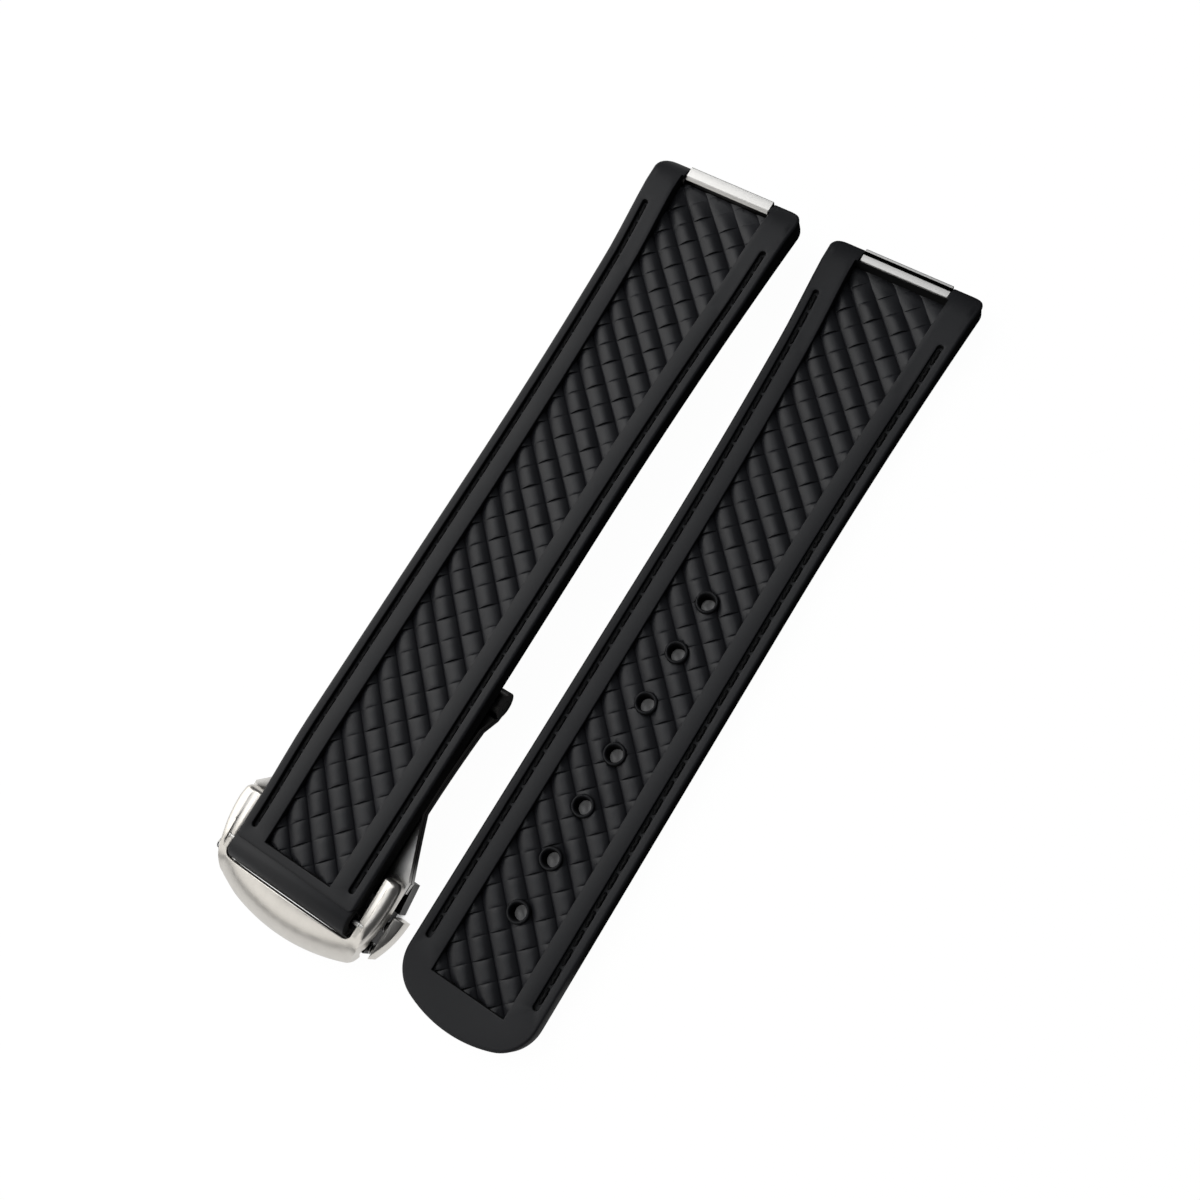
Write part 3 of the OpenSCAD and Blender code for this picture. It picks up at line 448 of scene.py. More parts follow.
def edge_distance(half, x, s):
    """How far a point lies inside the outline."""
    x = abs(x)
    lug_x = half_width(half.corner) - half.corner
    if s < half.corner and x > lug_x:
        return half.corner - math.hypot(x - lug_x, s - half.corner)
    inside = min(half_width(s) - x, s)
    if half.end:
        return min(inside, half.end - s)
    if s > TIP_S:
        if math.atan2(s - TIP_S, x - TIP_X) < TIP_TURN and x > TIP_X:
            return TIP_R - math.hypot(x - TIP_X, s - TIP_S)
        return END_R - math.hypot(x, s - END_S)
    return inside


def panel_loop(half, inside):
    start, stop = half.panel
    right = [(half_width(s) - BORDER - inside, s) for s in span(start + inside, stop - inside)]
    return right + [(-x, s) for x, s in reversed(right)]


def groove_loop(half, side, inside):
    """A round-ended groove that follows the strap's edge."""
    start, stop = half.groove[0] + GROOVE_HALF, half.groove[1] - GROOVE_HALF
    wide = GROOVE_HALF - inside
    middle = lambda s: half_width(s) - GROOVE_MID
    points = [(middle(s) + wide, s) for s in span(start, stop)]
    points += arc(middle(stop), stop, wide, 0, math.pi, 10)[1:-1]
    points += [(middle(s) - wide, s) for s in reversed(span(start, stop))]
    points += arc(middle(start), start, wide, math.pi, 2 * math.pi, 10)[1:-1]
    return [(side * x, s) for x, s in points]


print("outline points", len(outline(HALF_A, 0)), len(outline(HALF_B, 0)))

# %% [markdown]
# ## The height at every point
# One function tells how high the rubber is at x and s. It starts from the rails, rounds the
# outer edge, and then cuts the grooves, the panel, the seat of the lug bar and the holes'
# rims out of that height. A lip dips a little before it drops, as a moulded edge does.

# %% Height of the rubber
def cut(z, inside, floor):
    """Height beside and below a lip: inside is how far the point lies past the edge."""
    if inside >= WALL * 0.99:
        return floor
    if inside > 0:
        return z - LIP_DROP + (floor - z + LIP_DROP) * inside / WALL
    if inside > -LIP:
        return z - LIP_DROP * (1 + inside / LIP) ** 2
    return z


def drop(inside, radius):
    """How far a rounded edge lies under the flat, at a distance inside the outline."""
    back = max(0.0, radius - inside)
    return radius - math.sqrt(max(0.0, radius ** 2 - back ** 2))


def between(table, place):
    """A value read off a table of places and values, straight from row to row."""
    for (p0, v0), (p1, v1) in zip(table, table[1:]):
        if place <= p1 + 1e-4:
            return v0 + (v1 - v0) * min(1.0, max(0.0, (place - p0) / (p1 - p0)))
    return table[-1][1]


def rubber_height(half, x, s):
    out = edge_distance(half, x, s)
    z = top_height(s) - drop(out, EDGE_R)
    groove_s = max(0.0, half.groove[0] + GROOVE_HALF - s, s - half.groove[1] + GROOVE_HALF)
    in_groove = GROOVE_HALF - math.hypot(half_width(s) - GROOVE_MID - abs(x), groove_s)
    z = cut(z, in_groove, top_height(s) - GROOVE_DEEP)
    for hole in half.holes:
        r = math.hypot(x, s - hole)
        if r < RIM_PROFILE[-1][0]:
            return between(RIM_PROFILE, r)
    z = cut(z, min(BAR_SEAT_HALF - abs(x), half.panel[0] - s), BAR_SEAT_Z)
    if s >= half.panel[0]:
        inside = min(half_width(s) - BORDER - abs(x), s - half.panel[0] + WALL, half.panel[1] - s)
        z = cut(z, inside, PANEL_Z)
    return z

print("rail height at s = 50", rubber_height(HALF_A, half_width(50) - BORDER + 1, 50))

# %% [markdown]
# ## From a plan to a piece
# The plan is filled with a constrained Delaunay triangulation, which keeps every drawn line
# as an edge. The height function lifts its points, a wall joins the upper and lower fill,
# and the last helper shades the mesh smooth up to a sharp angle, hands it to a body of the
# frame and hides the CAD nodes it stands for.

# %% Plan helper
class Plan:
    """Lines and dots in the x-s plane, filled with triangles."""
    def __init__(self):
        self.dots, self.lines = [], []

    def add(self, points, closed=True):
        first, count = len(self.dots), len(points)
        self.dots += [Vector((x, -s)) for x, s in points]
        self.lines += [(first + i, first + (i + 1) % count)
                       for i in range(count if closed else count - 1)]

    def scatter(self, points):
        self.dots += [Vector((x, -s)) for x, s in points]

    def fill(self, bm, half, height, keep, down=False):
        """Adds the triangles to a mesh and gives back its vertices by place in the plan."""
        dots, _, faces, _, _, _ = delaunay_2d_cdt(self.dots, self.lines, [], 1, 1e-5)
        faces = [f for f in faces if keep(*(sum((dots[i] for i in f), Vector((0, 0))) / len(f)))]
        used = sorted({i for f in faces for i in f})
        verts = {}
        for i in used:
            x, s = dots[i].x, -dots[i].y
            verts[i] = bm.verts.new(half.at(x, s, height(x, s)))
        for f in faces:
            ring = [verts[i] for i in f]
            bm.faces.new(ring[::-1] if down else ring)
        return {(round(dots[i].x, 3), round(dots[i].y, 3)): verts[i] for i in used}


def tube(bm, rings):
    """Skins a row of closed rings and caps both ends."""
    for ring, other in zip(rings, rings[1:]):
        for i in range(len(ring)):
            j = (i + 1) % len(ring)
            bm.faces.new((ring[i], ring[j], other[j], other[i]))
    bm.faces.new(rings[0][::-1])
    bm.faces.new(rings[-1])


def close_wall(bm, upper, lower):
    """Joins the edge of an upper fill to the same points of a lower one."""
    place_of = {vert: place for place, vert in upper.items()}
    missing = 0
    for edge in [e for e in bm.edges if e.is_boundary and e.verts[0] in place_of]:
        ring = list(edge.link_faces[0].verts)
        first, second = edge.verts
        if ring[(ring.index(first) + 1) % len(ring)] != second:
            first, second = second, first
        below = [lower.get(place_of[v]) for v in (first, second)]
        if None in below:
            missing += 1
            continue
        bm.faces.new((second, first, below[0], below[1]))
    print("wall edges without a partner", missing)


def shell(half, top, height, under, under_height, keep=lambda x, y: True):
    """A piece made of an upper fill, a lower fill and the wall between them."""
    bm = bmesh.new()
    upper = top.fill(bm, half, height, keep)
    lower = under.fill(bm, half, under_height, keep, down=True)
    close_wall(bm, upper, lower)
    return bm


def finish_mesh(bm, name, body, slot, nodes, sharp=38):
    """Turns a bmesh into a piece that rides on a body and stands for its CAD nodes."""
    bmesh.ops.remove_doubles(bm, verts=bm.verts, dist=1e-8)
    mesh = bpy.data.meshes.new(name)
    bm.to_mesh(mesh)
    bm.free()
    mesh.polygons.foreach_set("use_smooth", [True] * len(mesh.polygons))
    mesh.set_sharp_from_angle(angle=math.radians(sharp))
    piece = bpy.data.objects.new(name, mesh)
    bpy.context.scene.collection.objects.link(piece)
    mesh.materials.append(MATERIALS[slot])
    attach(piece, body)
    if nodes:
        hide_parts(*nodes)
    print(name, len(mesh.vertices), "vertices", len(mesh.polygons), "faces")

print("plan classes", Plan.__name__)

# %% [markdown]
# ## The two rubber bodies
# The top is filled from the lines, the underside from a plain outline, and a wall joins the
# two along their common edge. Both fills use the same points on the outline, so the wall
# needs only a lookup by place.

# %% Rubber bodies
UNDER_EDGE, UNDER_INSETS = 0.3, (0.0, 0.09, 0.3)
NOSE_LINES = [0.04, 0.12, 0.25, 0.45, 0.7, 1.0, 1.4, 1.8, 2.3, 2.9, 3.5]
NOSE_IN, NOSE_GAP, NOSE_DOTS = 0.6, 0.55, 6
SEAT_LINE, GROOVE_INNER, HOLE_SIDES = 1.2, 0.15, 48

def rubber_body(half):
    """One half: its top, its underside and the wall between them."""
    top, under = Plan(), Plan()
    for turn in range(5):
        top.add(outline(half, EDGE_R * (1 - math.cos(turn * math.pi / 8))))
    top.add(outline(half, EDGE_R + 0.1))
    for inside in (-LIP, -LIP / 2, 0, WALL):
        top.add(panel_loop(half, inside))
        seat_x, seat_s = BAR_SEAT_HALF - inside, half.panel[0] - max(0, inside)
        for side in (1, -1):
            top.add([(side * seat_x, s) for s in (0.0, SEAT_LINE, seat_s)], closed=False)
            top.add(groove_loop(half, side, inside))
    for side in (1, -1):
        top.add(groove_loop(half, side, GROOVE_INNER))
    for s in NOSE_LINES + span(LUG_ROUND, RISE_START, 0.8):
        reach = half_width(s) - NOSE_IN - max(0, half.corner - s) * 0.5
        top.scatter([(side * (reach - NOSE_GAP * i), s) for side in (1, -1)
                     for i in range(NOSE_DOTS)])
    for hole in half.holes:
        for r, _ in RIM_PROFILE:
            top.add(arc(0, hole, r, 0, 2 * math.pi, HOLE_SIDES)[:-1])

    def outside_holes(x, y):
        return all(math.hypot(x, -y - hole) > BORE_R for hole in half.holes)

    for inset in UNDER_INSETS:
        under.add(outline(half, inset))
    for hole in half.holes:
        for inset in UNDER_INSETS:
            under.add(arc(0, hole, BORE_R + inset, 0, 2 * math.pi, HOLE_SIDES)[:-1])

    def under_height(x, s):
        into = edge_distance(half, x, s)
        for hole in half.holes:
            into = min(into, math.hypot(x, s - hole) - BORE_R)
        return drop(into, UNDER_EDGE)

    return shell(half, top, lambda x, s: rubber_height(half, x, s), under, under_height,
                 outside_holes)


def lathe(bm, half, profile, s, z, turns=64, bend=True):
    """A closed ring of r, x points turned about an axis that runs across the strap."""
    middle = half.at(0, s, z)
    if bend:
        profile = [(r, x * half.narrow(x, s)) for r, x in profile]
    angles = [2 * math.pi * k / turns for k in range(turns)]
    rings = [[bm.verts.new(middle + Vector((x, r * math.cos(a), r * math.sin(a))) * MM)
              for a in angles] for r, x in profile]
    for i, ring in enumerate(rings):
        other = rings[(i + 1) % len(rings)]
        for k in range(turns):
            j = (k + 1) % turns
            bm.faces.new((ring[k], other[k], other[j], ring[j]))


BORE_EDGE, ROLL_EDGE, ROLL_MID = 0.15, 0.3, 0.09

def roll(bm, half):
    """The sleeve at the clasp end that holds the sprung bar, with its bore."""
    wide = TAIL_HALF
    profile = [(ROLL_BORE, wide - BORE_EDGE), (ROLL_BORE + BORE_EDGE, wide),
               (ROLL_R - ROLL_EDGE, wide), (ROLL_R - ROLL_MID, wide - ROLL_MID),
               (ROLL_R, wide - ROLL_EDGE)]
    profile += [(r, -x) for r, x in reversed(profile)]
    lathe(bm, half, profile, ROLL_S, ROLL_Z)


def cylinder(bm, radius, long, middle, sides):
    """A closed cylinder that lies across the strap."""
    bmesh.ops.create_cone(bm, cap_ends=True, segments=sides, radius1=radius * MM,
                          radius2=radius * MM, depth=long * MM,
                          matrix=Matrix.Translation(middle) @ Matrix.Rotation(math.pi / 2, 4, "Y"))


LUG_S, LUG_Z, LUG_TUBE_R, LUG_BORE_R = 1.6, 1.6, 1.15, 0.85
DRILL_GAP, DRILL_LONG, DRILL_X = 0.05, 6, 9.3

def drill_lug(bm, half):
    """Cuts the shoulders' bores with a boolean, which keeps the rest of the mesh as it is."""
    body, tool = bpy.data.meshes.new("lug_body"), bpy.data.meshes.new("lug_tool")
    cutters = bmesh.new()
    for side in (1, -1):
        middle = half.at(side * DRILL_X, LUG_S, LUG_Z)
        cylinder(cutters, LUG_TUBE_R + DRILL_GAP, DRILL_LONG, middle, 48)
    cutters.to_mesh(tool)
    bmesh.ops.recalc_face_normals(bm, faces=bm.faces)
    bm.to_mesh(body)
    solid, drill = bpy.data.objects.new("lug_body", body), bpy.data.objects.new("lug_tool", tool)
    for made in (solid, drill):
        bpy.context.scene.collection.objects.link(made)
    cut_out = solid.modifiers.new("bore", "BOOLEAN")
    cut_out.operation, cut_out.object, cut_out.solver = "DIFFERENCE", drill, "EXACT"
    graph = bpy.context.evaluated_depsgraph_get()
    done = bpy.data.meshes.new_from_object(solid.evaluated_get(graph))
    bm.clear()
    bm.from_mesh(done)
    for made in (solid, drill):
        bpy.data.objects.remove(made)
    for made in (body, tool, done):
        bpy.data.meshes.remove(made)
    cutters.free()
    print("drilled", len(bm.verts), "vertices")
    return bm

mesh_a = drill_lug(rubber_body(HALF_A), HALF_A)
roll(mesh_a, HALF_A)
finish_mesh(mesh_a, "strap_a_body", "strap_a", "rubber_black", ["strap_a_rubber"])
mesh_b = drill_lug(rubber_body(HALF_B), HALF_B)
finish_mesh(mesh_b, "strap_b_body", "strap_b", "rubber_black", ["strap_b_rubber"])

# %% [markdown]
# ## The woven inlay
# Ribs run at 45 degrees over the panel, and every second cell of a rib stands up at its lower
# end and ducks under at its upper end, as a basket weave does. The mesh is a lattice of
# ribs and cells, so each valley and each step is a real edge. What would stick out past
# the panel, or into a hole's rim, is pushed back to that edge.

# %% Woven inlays
PITCH = 2.65
RIB_LINES = [0, 0.03, 0.08, 0.16, 0.27, 0.38, 0.5, 0.62, 0.73, 0.84, 0.92, 0.97]
CELL_LINES = [0, 0.018, 0.06, 0.2, 0.45, 0.7, 0.9, 0.965]
VALLEY_Z, RIM_SEAT, INLAY_GAP = 1.64, 1.44, 0.03
LATTICE, UNEVEN, FADE_LONG, FADE_LEAST = range(-34, 6), 0.03, 4.5, 0.25
CREST, JOINT, CROWN = (0.50, 0.60), (0.40, 0.31), (2.3, 2.0)
CREST_FALL, JOINT_DIP, VALLEY_DIP = 0.11, 0.035, 0.05

def inlay_height(along, across, high, lift):
    """Height in one cell, low or high: along and across it from 0 to 1. Joints are valleys."""
    crest = CREST[high] - CREST_FALL * along + lift
    if along == 0:
        crest = JOINT[high]
    elif along in (CELL_LINES[1], CELL_LINES[-1]):
        crest -= JOINT_DIP
    crown = 1 - abs(2 * across - 1) ** CROWN[high]
    return VALLEY_Z + crest * crown - (VALLEY_DIP if across == 0 else 0)


def beyond(codes):
    """True where all corners lie past the same side, or past the same end."""
    return any(all(c[part] == sign for c in codes) for part in (0, 1) for sign in (1, -1))


def woven_inlay(half, rib_start, cell_start, odd, warp, seed):
    """The lattice of one half. odd says which cells stand up, warp stretches it along s."""
    draw = random.Random(seed)
    bm = bmesh.new()
    heights = {(i, k): draw.uniform(-UNEVEN, UNEVEN) for i in LATTICE for k in LATTICE}
    grid, outside = {}, {}
    half_low, half_high = half.panel[0] + INLAY_GAP, half.panel[1] - INLAY_GAP

    def place(i, a, k, b):
        u, v = cell_start + PITCH * (i + a), rib_start + PITCH * (k + b)
        x, s = (v - u) / math.sqrt(2), -(u + v) / math.sqrt(2)
        s += warp(s)
        wide = half_width(min(max(s, half_low), half_high)) - BORDER - INLAY_GAP
        code = (x > wide) - (x < -wide), (s > half_high) - (s < half_low)
        x, s = max(-wide, min(wide, x)), max(half_low, min(half_high, s))
        in_hole = None
        for hole in half.holes:
            r = math.hypot(x, s - hole)
            if r < RIM_SEAT:
                in_hole = hole
                if r > 0.01:
                    x, s = x * RIM_SEAT / r, hole + (s - hole) * RIM_SEAT / r
        return x, s, code, in_hole

    def vertex(i, ai, k, bi):
        key = (i, ai, k, bi)
        if key not in grid:
            a, b = CELL_LINES[ai], RIB_LINES[bi]
            x, s, code, in_hole = place(i, a, k, b)
            fade = min(1.0, max(FADE_LEAST, (s - half.panel[0]) / FADE_LONG))
            z = inlay_height(a, b, (i + k) % 2 == odd, heights.get((i, k), 0))
            z = VALLEY_Z + (z - VALLEY_Z) * fade
            grid[key] = bm.verts.new(half.at(x, s, z))
            outside[key] = (code, in_hole)
        return grid[key]

    def after(i, index, lines):
        return (i + 1, 0) if index + 1 == len(lines) else (i, index + 1)

    for i in LATTICE:
        for k in LATTICE:
            if beyond([place(i, a, k, b)[2] for a in (0, 1) for b in (0, 1)]):
                continue
            for ai in range(len(CELL_LINES)):
                for bi in range(len(RIB_LINES)):
                    i2, a2 = after(i, ai, CELL_LINES)
                    k2, b2 = after(k, bi, RIB_LINES)
                    keys = [(i, ai, k, bi), (i, ai, k2, b2), (i2, a2, k2, b2), (i2, a2, k, bi)]
                    verts = [vertex(*key) for key in keys]
                    codes, in_holes = zip(*[outside[key] for key in keys])
                    in_one_hole = in_holes[0] is not None and len(set(in_holes)) == 1
                    if not beyond(codes) and not in_one_hole:
                        bm.faces.new(verts)
    bmesh.ops.delete(bm, geom=[v for v in bm.verts if not v.link_faces], context="VERTS")
    bmesh.ops.dissolve_degenerate(bm, dist=2e-6, edges=bm.edges)
    rim = [e for e in bm.edges if e.is_boundary]
    down = bmesh.ops.extrude_edge_only(bm, edges=rim)
    for vert in [g for g in down["geom"] if isinstance(g, bmesh.types.BMVert)]:
        vert.co.z = half.at(0, 0, PANEL_Z).z
    return bm


WARP_S, WARP_LOW, WARP_HIGH = 45, (1.25, 45), (0.25, 33)

def warp_a(s):
    """Strap A's weave is stretched a little towards both of its ends."""
    low, high = (s - WARP_S) / WARP_LOW[1], (WARP_S - s) / WARP_HIGH[1]
    return WARP_LOW[0] * max(0.0, low) ** 1.5 + WARP_HIGH[0] * max(0.0, high)


def warp_b(s):
    return 0.0

finish_mesh(woven_inlay(HALF_A, 1.85, -0.32, 0, warp_a, 3), "inlay_a", "strap_a",
            "rubber_woven", ["strap_a_weave"], 50)
finish_mesh(woven_inlay(HALF_B, 0.1, -0.1, 1, warp_b, 4), "inlay_b", "strap_b",
            "rubber_woven", ["strap_b_weave"], 50)

# %% [markdown]
# ## Stitches
# A row of thread lies in each groove. Each stitch is a short tube that dips into the rubber
# at both ends, and its cross-section has two lobes that turn along it, like two twisted
# strands.

# %% Stitches
STITCH_PITCH, STITCH_LONG, THREAD_R, THREAD_THIN = 2.4, 2.1, 0.24, 0.55
STITCH_RINGS, STITCH_SIDES, STITCH_SINK, STITCH_ARCH = 13, 12, 0.06, 0.16
LOBE, LOBE_TURN = 0.22, 2.6
SIDES = ((-1, "left"), (1, "right"))

def stitch_row(half, side):
    """All stitches of one groove. Every ring is a two-lobed outline that turns on its way."""
    bm = bmesh.new()
    start, stop = half.groove[0] + GROOVE_HALF, half.groove[1] - GROOVE_HALF
    count = int((stop - start) / STITCH_PITCH)
    for n in range(count):
        first = start + n * (stop - start) / count
        rings = []
        for j in range(STITCH_RINGS):
            t = j / (STITCH_RINGS - 1)
            s, arch = first + t * STITCH_LONG, math.sin(math.pi * t)
            thin = THREAD_R * (THREAD_THIN + (1 - THREAD_THIN) * arch ** 0.5)
            x = side * (half_width(s) - GROOVE_MID)
            z = top_height(s) - GROOVE_DEEP - STITCH_SINK + STITCH_ARCH * arch
            ring = []
            for c in range(STITCH_SIDES):
                turn = 2 * math.pi * c / STITCH_SIDES
                r = thin * (1 + LOBE * math.cos(2 * (turn - LOBE_TURN * t * math.pi)))
                spot = half.at(x + r * math.cos(turn), s, z + r * math.sin(turn))
                ring.append(bm.verts.new(spot))
            rings.append(ring)
        tube(bm, rings)
    return bm

HALVES = (("a", HALF_A), ("b", HALF_B))
for letter, half in HALVES:
    for side, word in SIDES:
        finish_mesh(stitch_row(half, side), f"thread_{letter}_{word}", f"strap_{letter}",
                    "thread_black", [f"strap_{letter}_stitches_{word}"], 60)

# %% [markdown]
# ## The lug bars
# Between the shoulders a steel block fills the width: flat and brushed on top, with a thin
# rounded edge outside and a bevel towards the inlay that catches the light. It is one side
# view, drawn once and repeated across the strap, with slightly smaller copies as end rings.
# Tubes for the watch's spring bar run from the block into the shoulders.

# %% Lug bars
BAR_HALF, BAR_S0, BAR_TOP, BAR_LOW, TUBE_END = 6.0, 0.35, 2.9, 0.35, 9.3
BAR_OUTER = [(0, 0.13), (0.04, 0.04), (0.12, 0)]
BAR_SLIT = [(0.38, 0), (0.40, 0.9), (0.88, 0.9), (0.90, 0)]
BAR_BEVEL = [(0.48, 0), (0.42, 0.02), (0.03, 0.29), (0, 0.35)]
BAR_EDGE, TUBE_EDGE = 0.05, 0.08
CORE_S, CORE_R, CORE_X = 1.2, (0.5, 0.8), (BAR_HALF - 0.1, BAR_HALF + 0.2)

def lug_bar(half, slit):
    """The block between the shoulders, with the two tubes of the watch's spring bar."""
    bm = bmesh.new()
    s1 = half.panel[0] - INLAY_GAP
    view = [(BAR_S0, BAR_LOW)]
    view += [(BAR_S0 + s, BAR_TOP - z) for s, z in BAR_OUTER + (BAR_SLIT if slit else [])]
    view += [(s1 - s, BAR_TOP - z) for s, z in BAR_BEVEL] + [(s1, BAR_LOW)]

    def smaller(value, middle, by):
        return value + by * ((value < middle) - (value > middle))
    rings = []
    for x, by in ((-BAR_HALF, BAR_EDGE), (BAR_EDGE - BAR_HALF, 0), (BAR_HALF - BAR_EDGE, 0),
                  (BAR_HALF, BAR_EDGE)):
        ring = [(smaller(s, (BAR_S0 + s1) / 2, by), smaller(z, BAR_TOP / 2, by)) for s, z in view]
        rings.append([bm.verts.new(half.at(x, s, z)) for s, z in ring])
    tube(bm, rings)
    for side in (1, -1):
        near, far = side * (BAR_SEAT_HALF + 0.01), side * TUBE_END
        (small, large), (x0, x1) = CORE_R, [side * x for x in CORE_X]
        lathe(bm, half, [(small, x0), (large, x0), (large, x1), (small, x1)], CORE_S, LUG_Z, 32)
        sleeve = [(LUG_BORE_R, near), (LUG_TUBE_R, near), (LUG_TUBE_R, far - side * TUBE_EDGE),
                  (LUG_TUBE_R - TUBE_EDGE, far), (LUG_BORE_R, far)]
        lathe(bm, half, sleeve, LUG_S, LUG_Z, 48)
    bmesh.ops.recalc_face_normals(bm, faces=bm.faces)
    return bm

for letter, half in HALVES:
    finish_mesh(lug_bar(half, letter == "b"), f"bar_{letter}", f"strap_{letter}",
                "steel_brushed", [f"strap_{letter}_lug_bar"], 20)

# %% [markdown]
# ## The clasp's cover
# The cover is one bent sheet: a nose that rolls down at the end of the strap, and an ear on
# each side. Seen from above it never folds over itself, so the plan fill works here too.
# The nose's roll turns about the centre of its plan arc and the ears' roll runs straight,
# and where the two meet there is a fine mitre line.

# %% Sizes of the cover
FLANK_X, FLANK_S, FLANK_R = -6.05, 97.5, 18.0
NOSE_S, NOSE_R, ROLL_IN, SHEET_R, SHEET_T, SHEET_Z = 81.4, 26.0, 20.739, 5.4, 0.9, 0.784
COVER_TOP, RIM_Z, EAR_IN, EAR_S, NEAR_S = SHEET_Z + SHEET_R, 2.0, 9.65, 94.3, 102.85
TURN_R, HORN_OUT, HORN_IN, INNER_R, EAR_ROLL_S = 1.8, 0.9, 0.5, 0.8, 100.1
EAR_EDGE, INNER_EDGE, NEAR_EDGE = 1.0, 0.25, 0.15
EAR_LOW, CHEEK_LOW = 4.15, 3.4

def circles_meet(x0, s0, r0, x1, s1, r1):
    """The crossing of two circles that lies at the larger x."""
    gap = math.hypot(x1 - x0, s1 - s0)
    along = (r0 ** 2 - r1 ** 2 + gap ** 2) / (2 * gap)
    off = math.sqrt(r0 ** 2 - along ** 2)
    ux, us = (x1 - x0) / gap, (s1 - s0) / gap
    return max((x0 + along * ux + k * off * us, s0 + along * us - k * off * ux) for k in (1, -1))

TURN_X, TURN_S = circles_meet(FLANK_X, FLANK_S, FLANK_R - TURN_R, 0, NOSE_S, NOSE_R - TURN_R)
FLANK_TURN = math.atan2(TURN_S - FLANK_S, TURN_X - FLANK_X)
NOSE_TURN = math.atan2(TURN_S - NOSE_S, TURN_X)
HORN_TURN = math.asin((EAR_S + HORN_OUT - FLANK_S) / (FLANK_R - HORN_OUT))
HORN_X = FLANK_X + (FLANK_R - HORN_OUT) * math.cos(HORN_TURN)


class Table:
    """Strap A's x and s, with z over the table. A shape may bend the left side its own way."""
    def __init__(self, left):
        self.left = left

    def at(self, x, s, z):
        place = HALF_A.at(0, s, 0)
        place.x += (x if x >= 0 else -self.left(-x, s)) * MM
        place.z = z * MM
        return place


LEFT_OUT = [(94.0, 0.1), (96.0, 0.12), (99.4, 0.5), (102.3, 1.0), (104.0, 1.35), (106.0, 1.5)]
LEFT_IN, LEFT_FADE, EAR_WIDE = 0.5, 6, 2.3

def cover_left(x, s):
    """The left ear leans in towards the nose, as in the photograph."""
    share = min(1.0, max(0.0, (x - EAR_IN) / EAR_WIDE))
    fade = smooth((x - LEFT_FADE) / (EAR_IN - LEFT_FADE))
    return x - fade * (LEFT_IN * (1 - share) + between(LEFT_OUT, s) * share)

COVER_TABLE = Table(cover_left)
print("cover corner at", round(TURN_X, 2), round(TURN_S, 2))

# %% [markdown]
# ## The cover's surfaces
# The ring of the plan runs along the near edge, up the inner side of an ear, round its horn,
# down the flank and along the nose. The upper side is the nose's roll or the ear's roll,
# whichever is higher, with rounded edges. The underside follows the nose's roll one sheet
# lower, and steps where the ear makes room for the button.

# %% Clasp cover
def cover_ring(inset):
    right = [(x, NEAR_S + inset) for x in span(0, EAR_IN - INNER_R, 0.7)]
    right += arc(EAR_IN - INNER_R, NEAR_S - INNER_R, INNER_R + inset, math.pi / 2, 0, 8)[1:]
    right += [(EAR_IN + inset, s) for s in span(NEAR_S - INNER_R, EAR_S + HORN_IN, 0.5)[1:]]
    right += arc(EAR_IN + HORN_IN, EAR_S + HORN_IN, max(0.01, HORN_IN - inset),
                 math.pi, 1.5 * math.pi, 6)[1:]
    right += arc(HORN_X, EAR_S + HORN_OUT, HORN_OUT - inset, -math.pi / 2, HORN_TURN, 8)
    right += arc(FLANK_X, FLANK_S, FLANK_R - inset, HORN_TURN, FLANK_TURN, 18)[1:]
    right += arc(TURN_X, TURN_S, TURN_R - inset, FLANK_TURN, NOSE_TURN, 12)[1:]
    right += arc(0, NOSE_S, NOSE_R - inset, NOSE_TURN, math.pi / 2, 16)[1:]
    return right + [(-x, s) for x, s in right[-2:0:-1]]


def sheet_z(q, radius=SHEET_R):
    return SHEET_Z + math.sqrt(max(0.0, radius ** 2 - max(0.0, q) ** 2))


def cover_height(x, s):
    x = abs(x)
    nose = sheet_z(math.hypot(x, s - NOSE_S) - ROLL_IN)
    z = max(nose, sheet_z(s - EAR_ROLL_S)) if x > EAR_IN - 2 else nose
    outer = FLANK_R - math.hypot(x - FLANK_X, s - FLANK_S)
    if s > TURN_S and math.atan2(s - TURN_S, x - TURN_X) < NOSE_TURN:
        outer = TURN_R - math.hypot(x - TURN_X, s - TURN_S)
    if s < EAR_S + HORN_OUT and x > HORN_X:
        horn = HORN_OUT - math.hypot(x - HORN_X, s - EAR_S - HORN_OUT)
    else:
        horn = s - EAR_S
    z = min(z, COVER_TOP - drop(min(outer, horn), EAR_EDGE))
    if s < NEAR_S - INNER_R:
        return min(z, COVER_TOP - drop(x - EAR_IN, INNER_EDGE))
    if x > EAR_IN - INNER_R:
        inner = math.hypot(x - EAR_IN + INNER_R, s - NEAR_S + INNER_R) - INNER_R
        return z - drop(max(0, inner), INNER_EDGE * 0.6)
    return z - drop(s - NEAR_S, NEAR_EDGE)


EAR_STEPS = [(101.8, EAR_LOW), (102.2, CHEEK_LOW), (103.6, CHEEK_LOW), (103.9, RIM_Z)]
CHEEK_IN = 0.3

def cover_under(x, s):
    x = abs(x)
    if x < EAR_IN - CHEEK_IN:
        q = math.hypot(x, s - NOSE_S) - ROLL_IN
        return max(RIM_Z, sheet_z(q, SHEET_R - SHEET_T))
    return between(EAR_STEPS, s)


COVER_INSETS = (0, 0.02, 0.07, 0.15, 0.25, 0.37, 0.49, 0.62, 0.75)
DOTS_IN, DOTS_END, EAR_DOTS, EAR_DOTS_IN = 0.7, 104.2, (0.9, 1.05, 1.2, 1.35), 0.85
CHEEK_START, CHEEK_END = NEAR_S + 0.3, 105

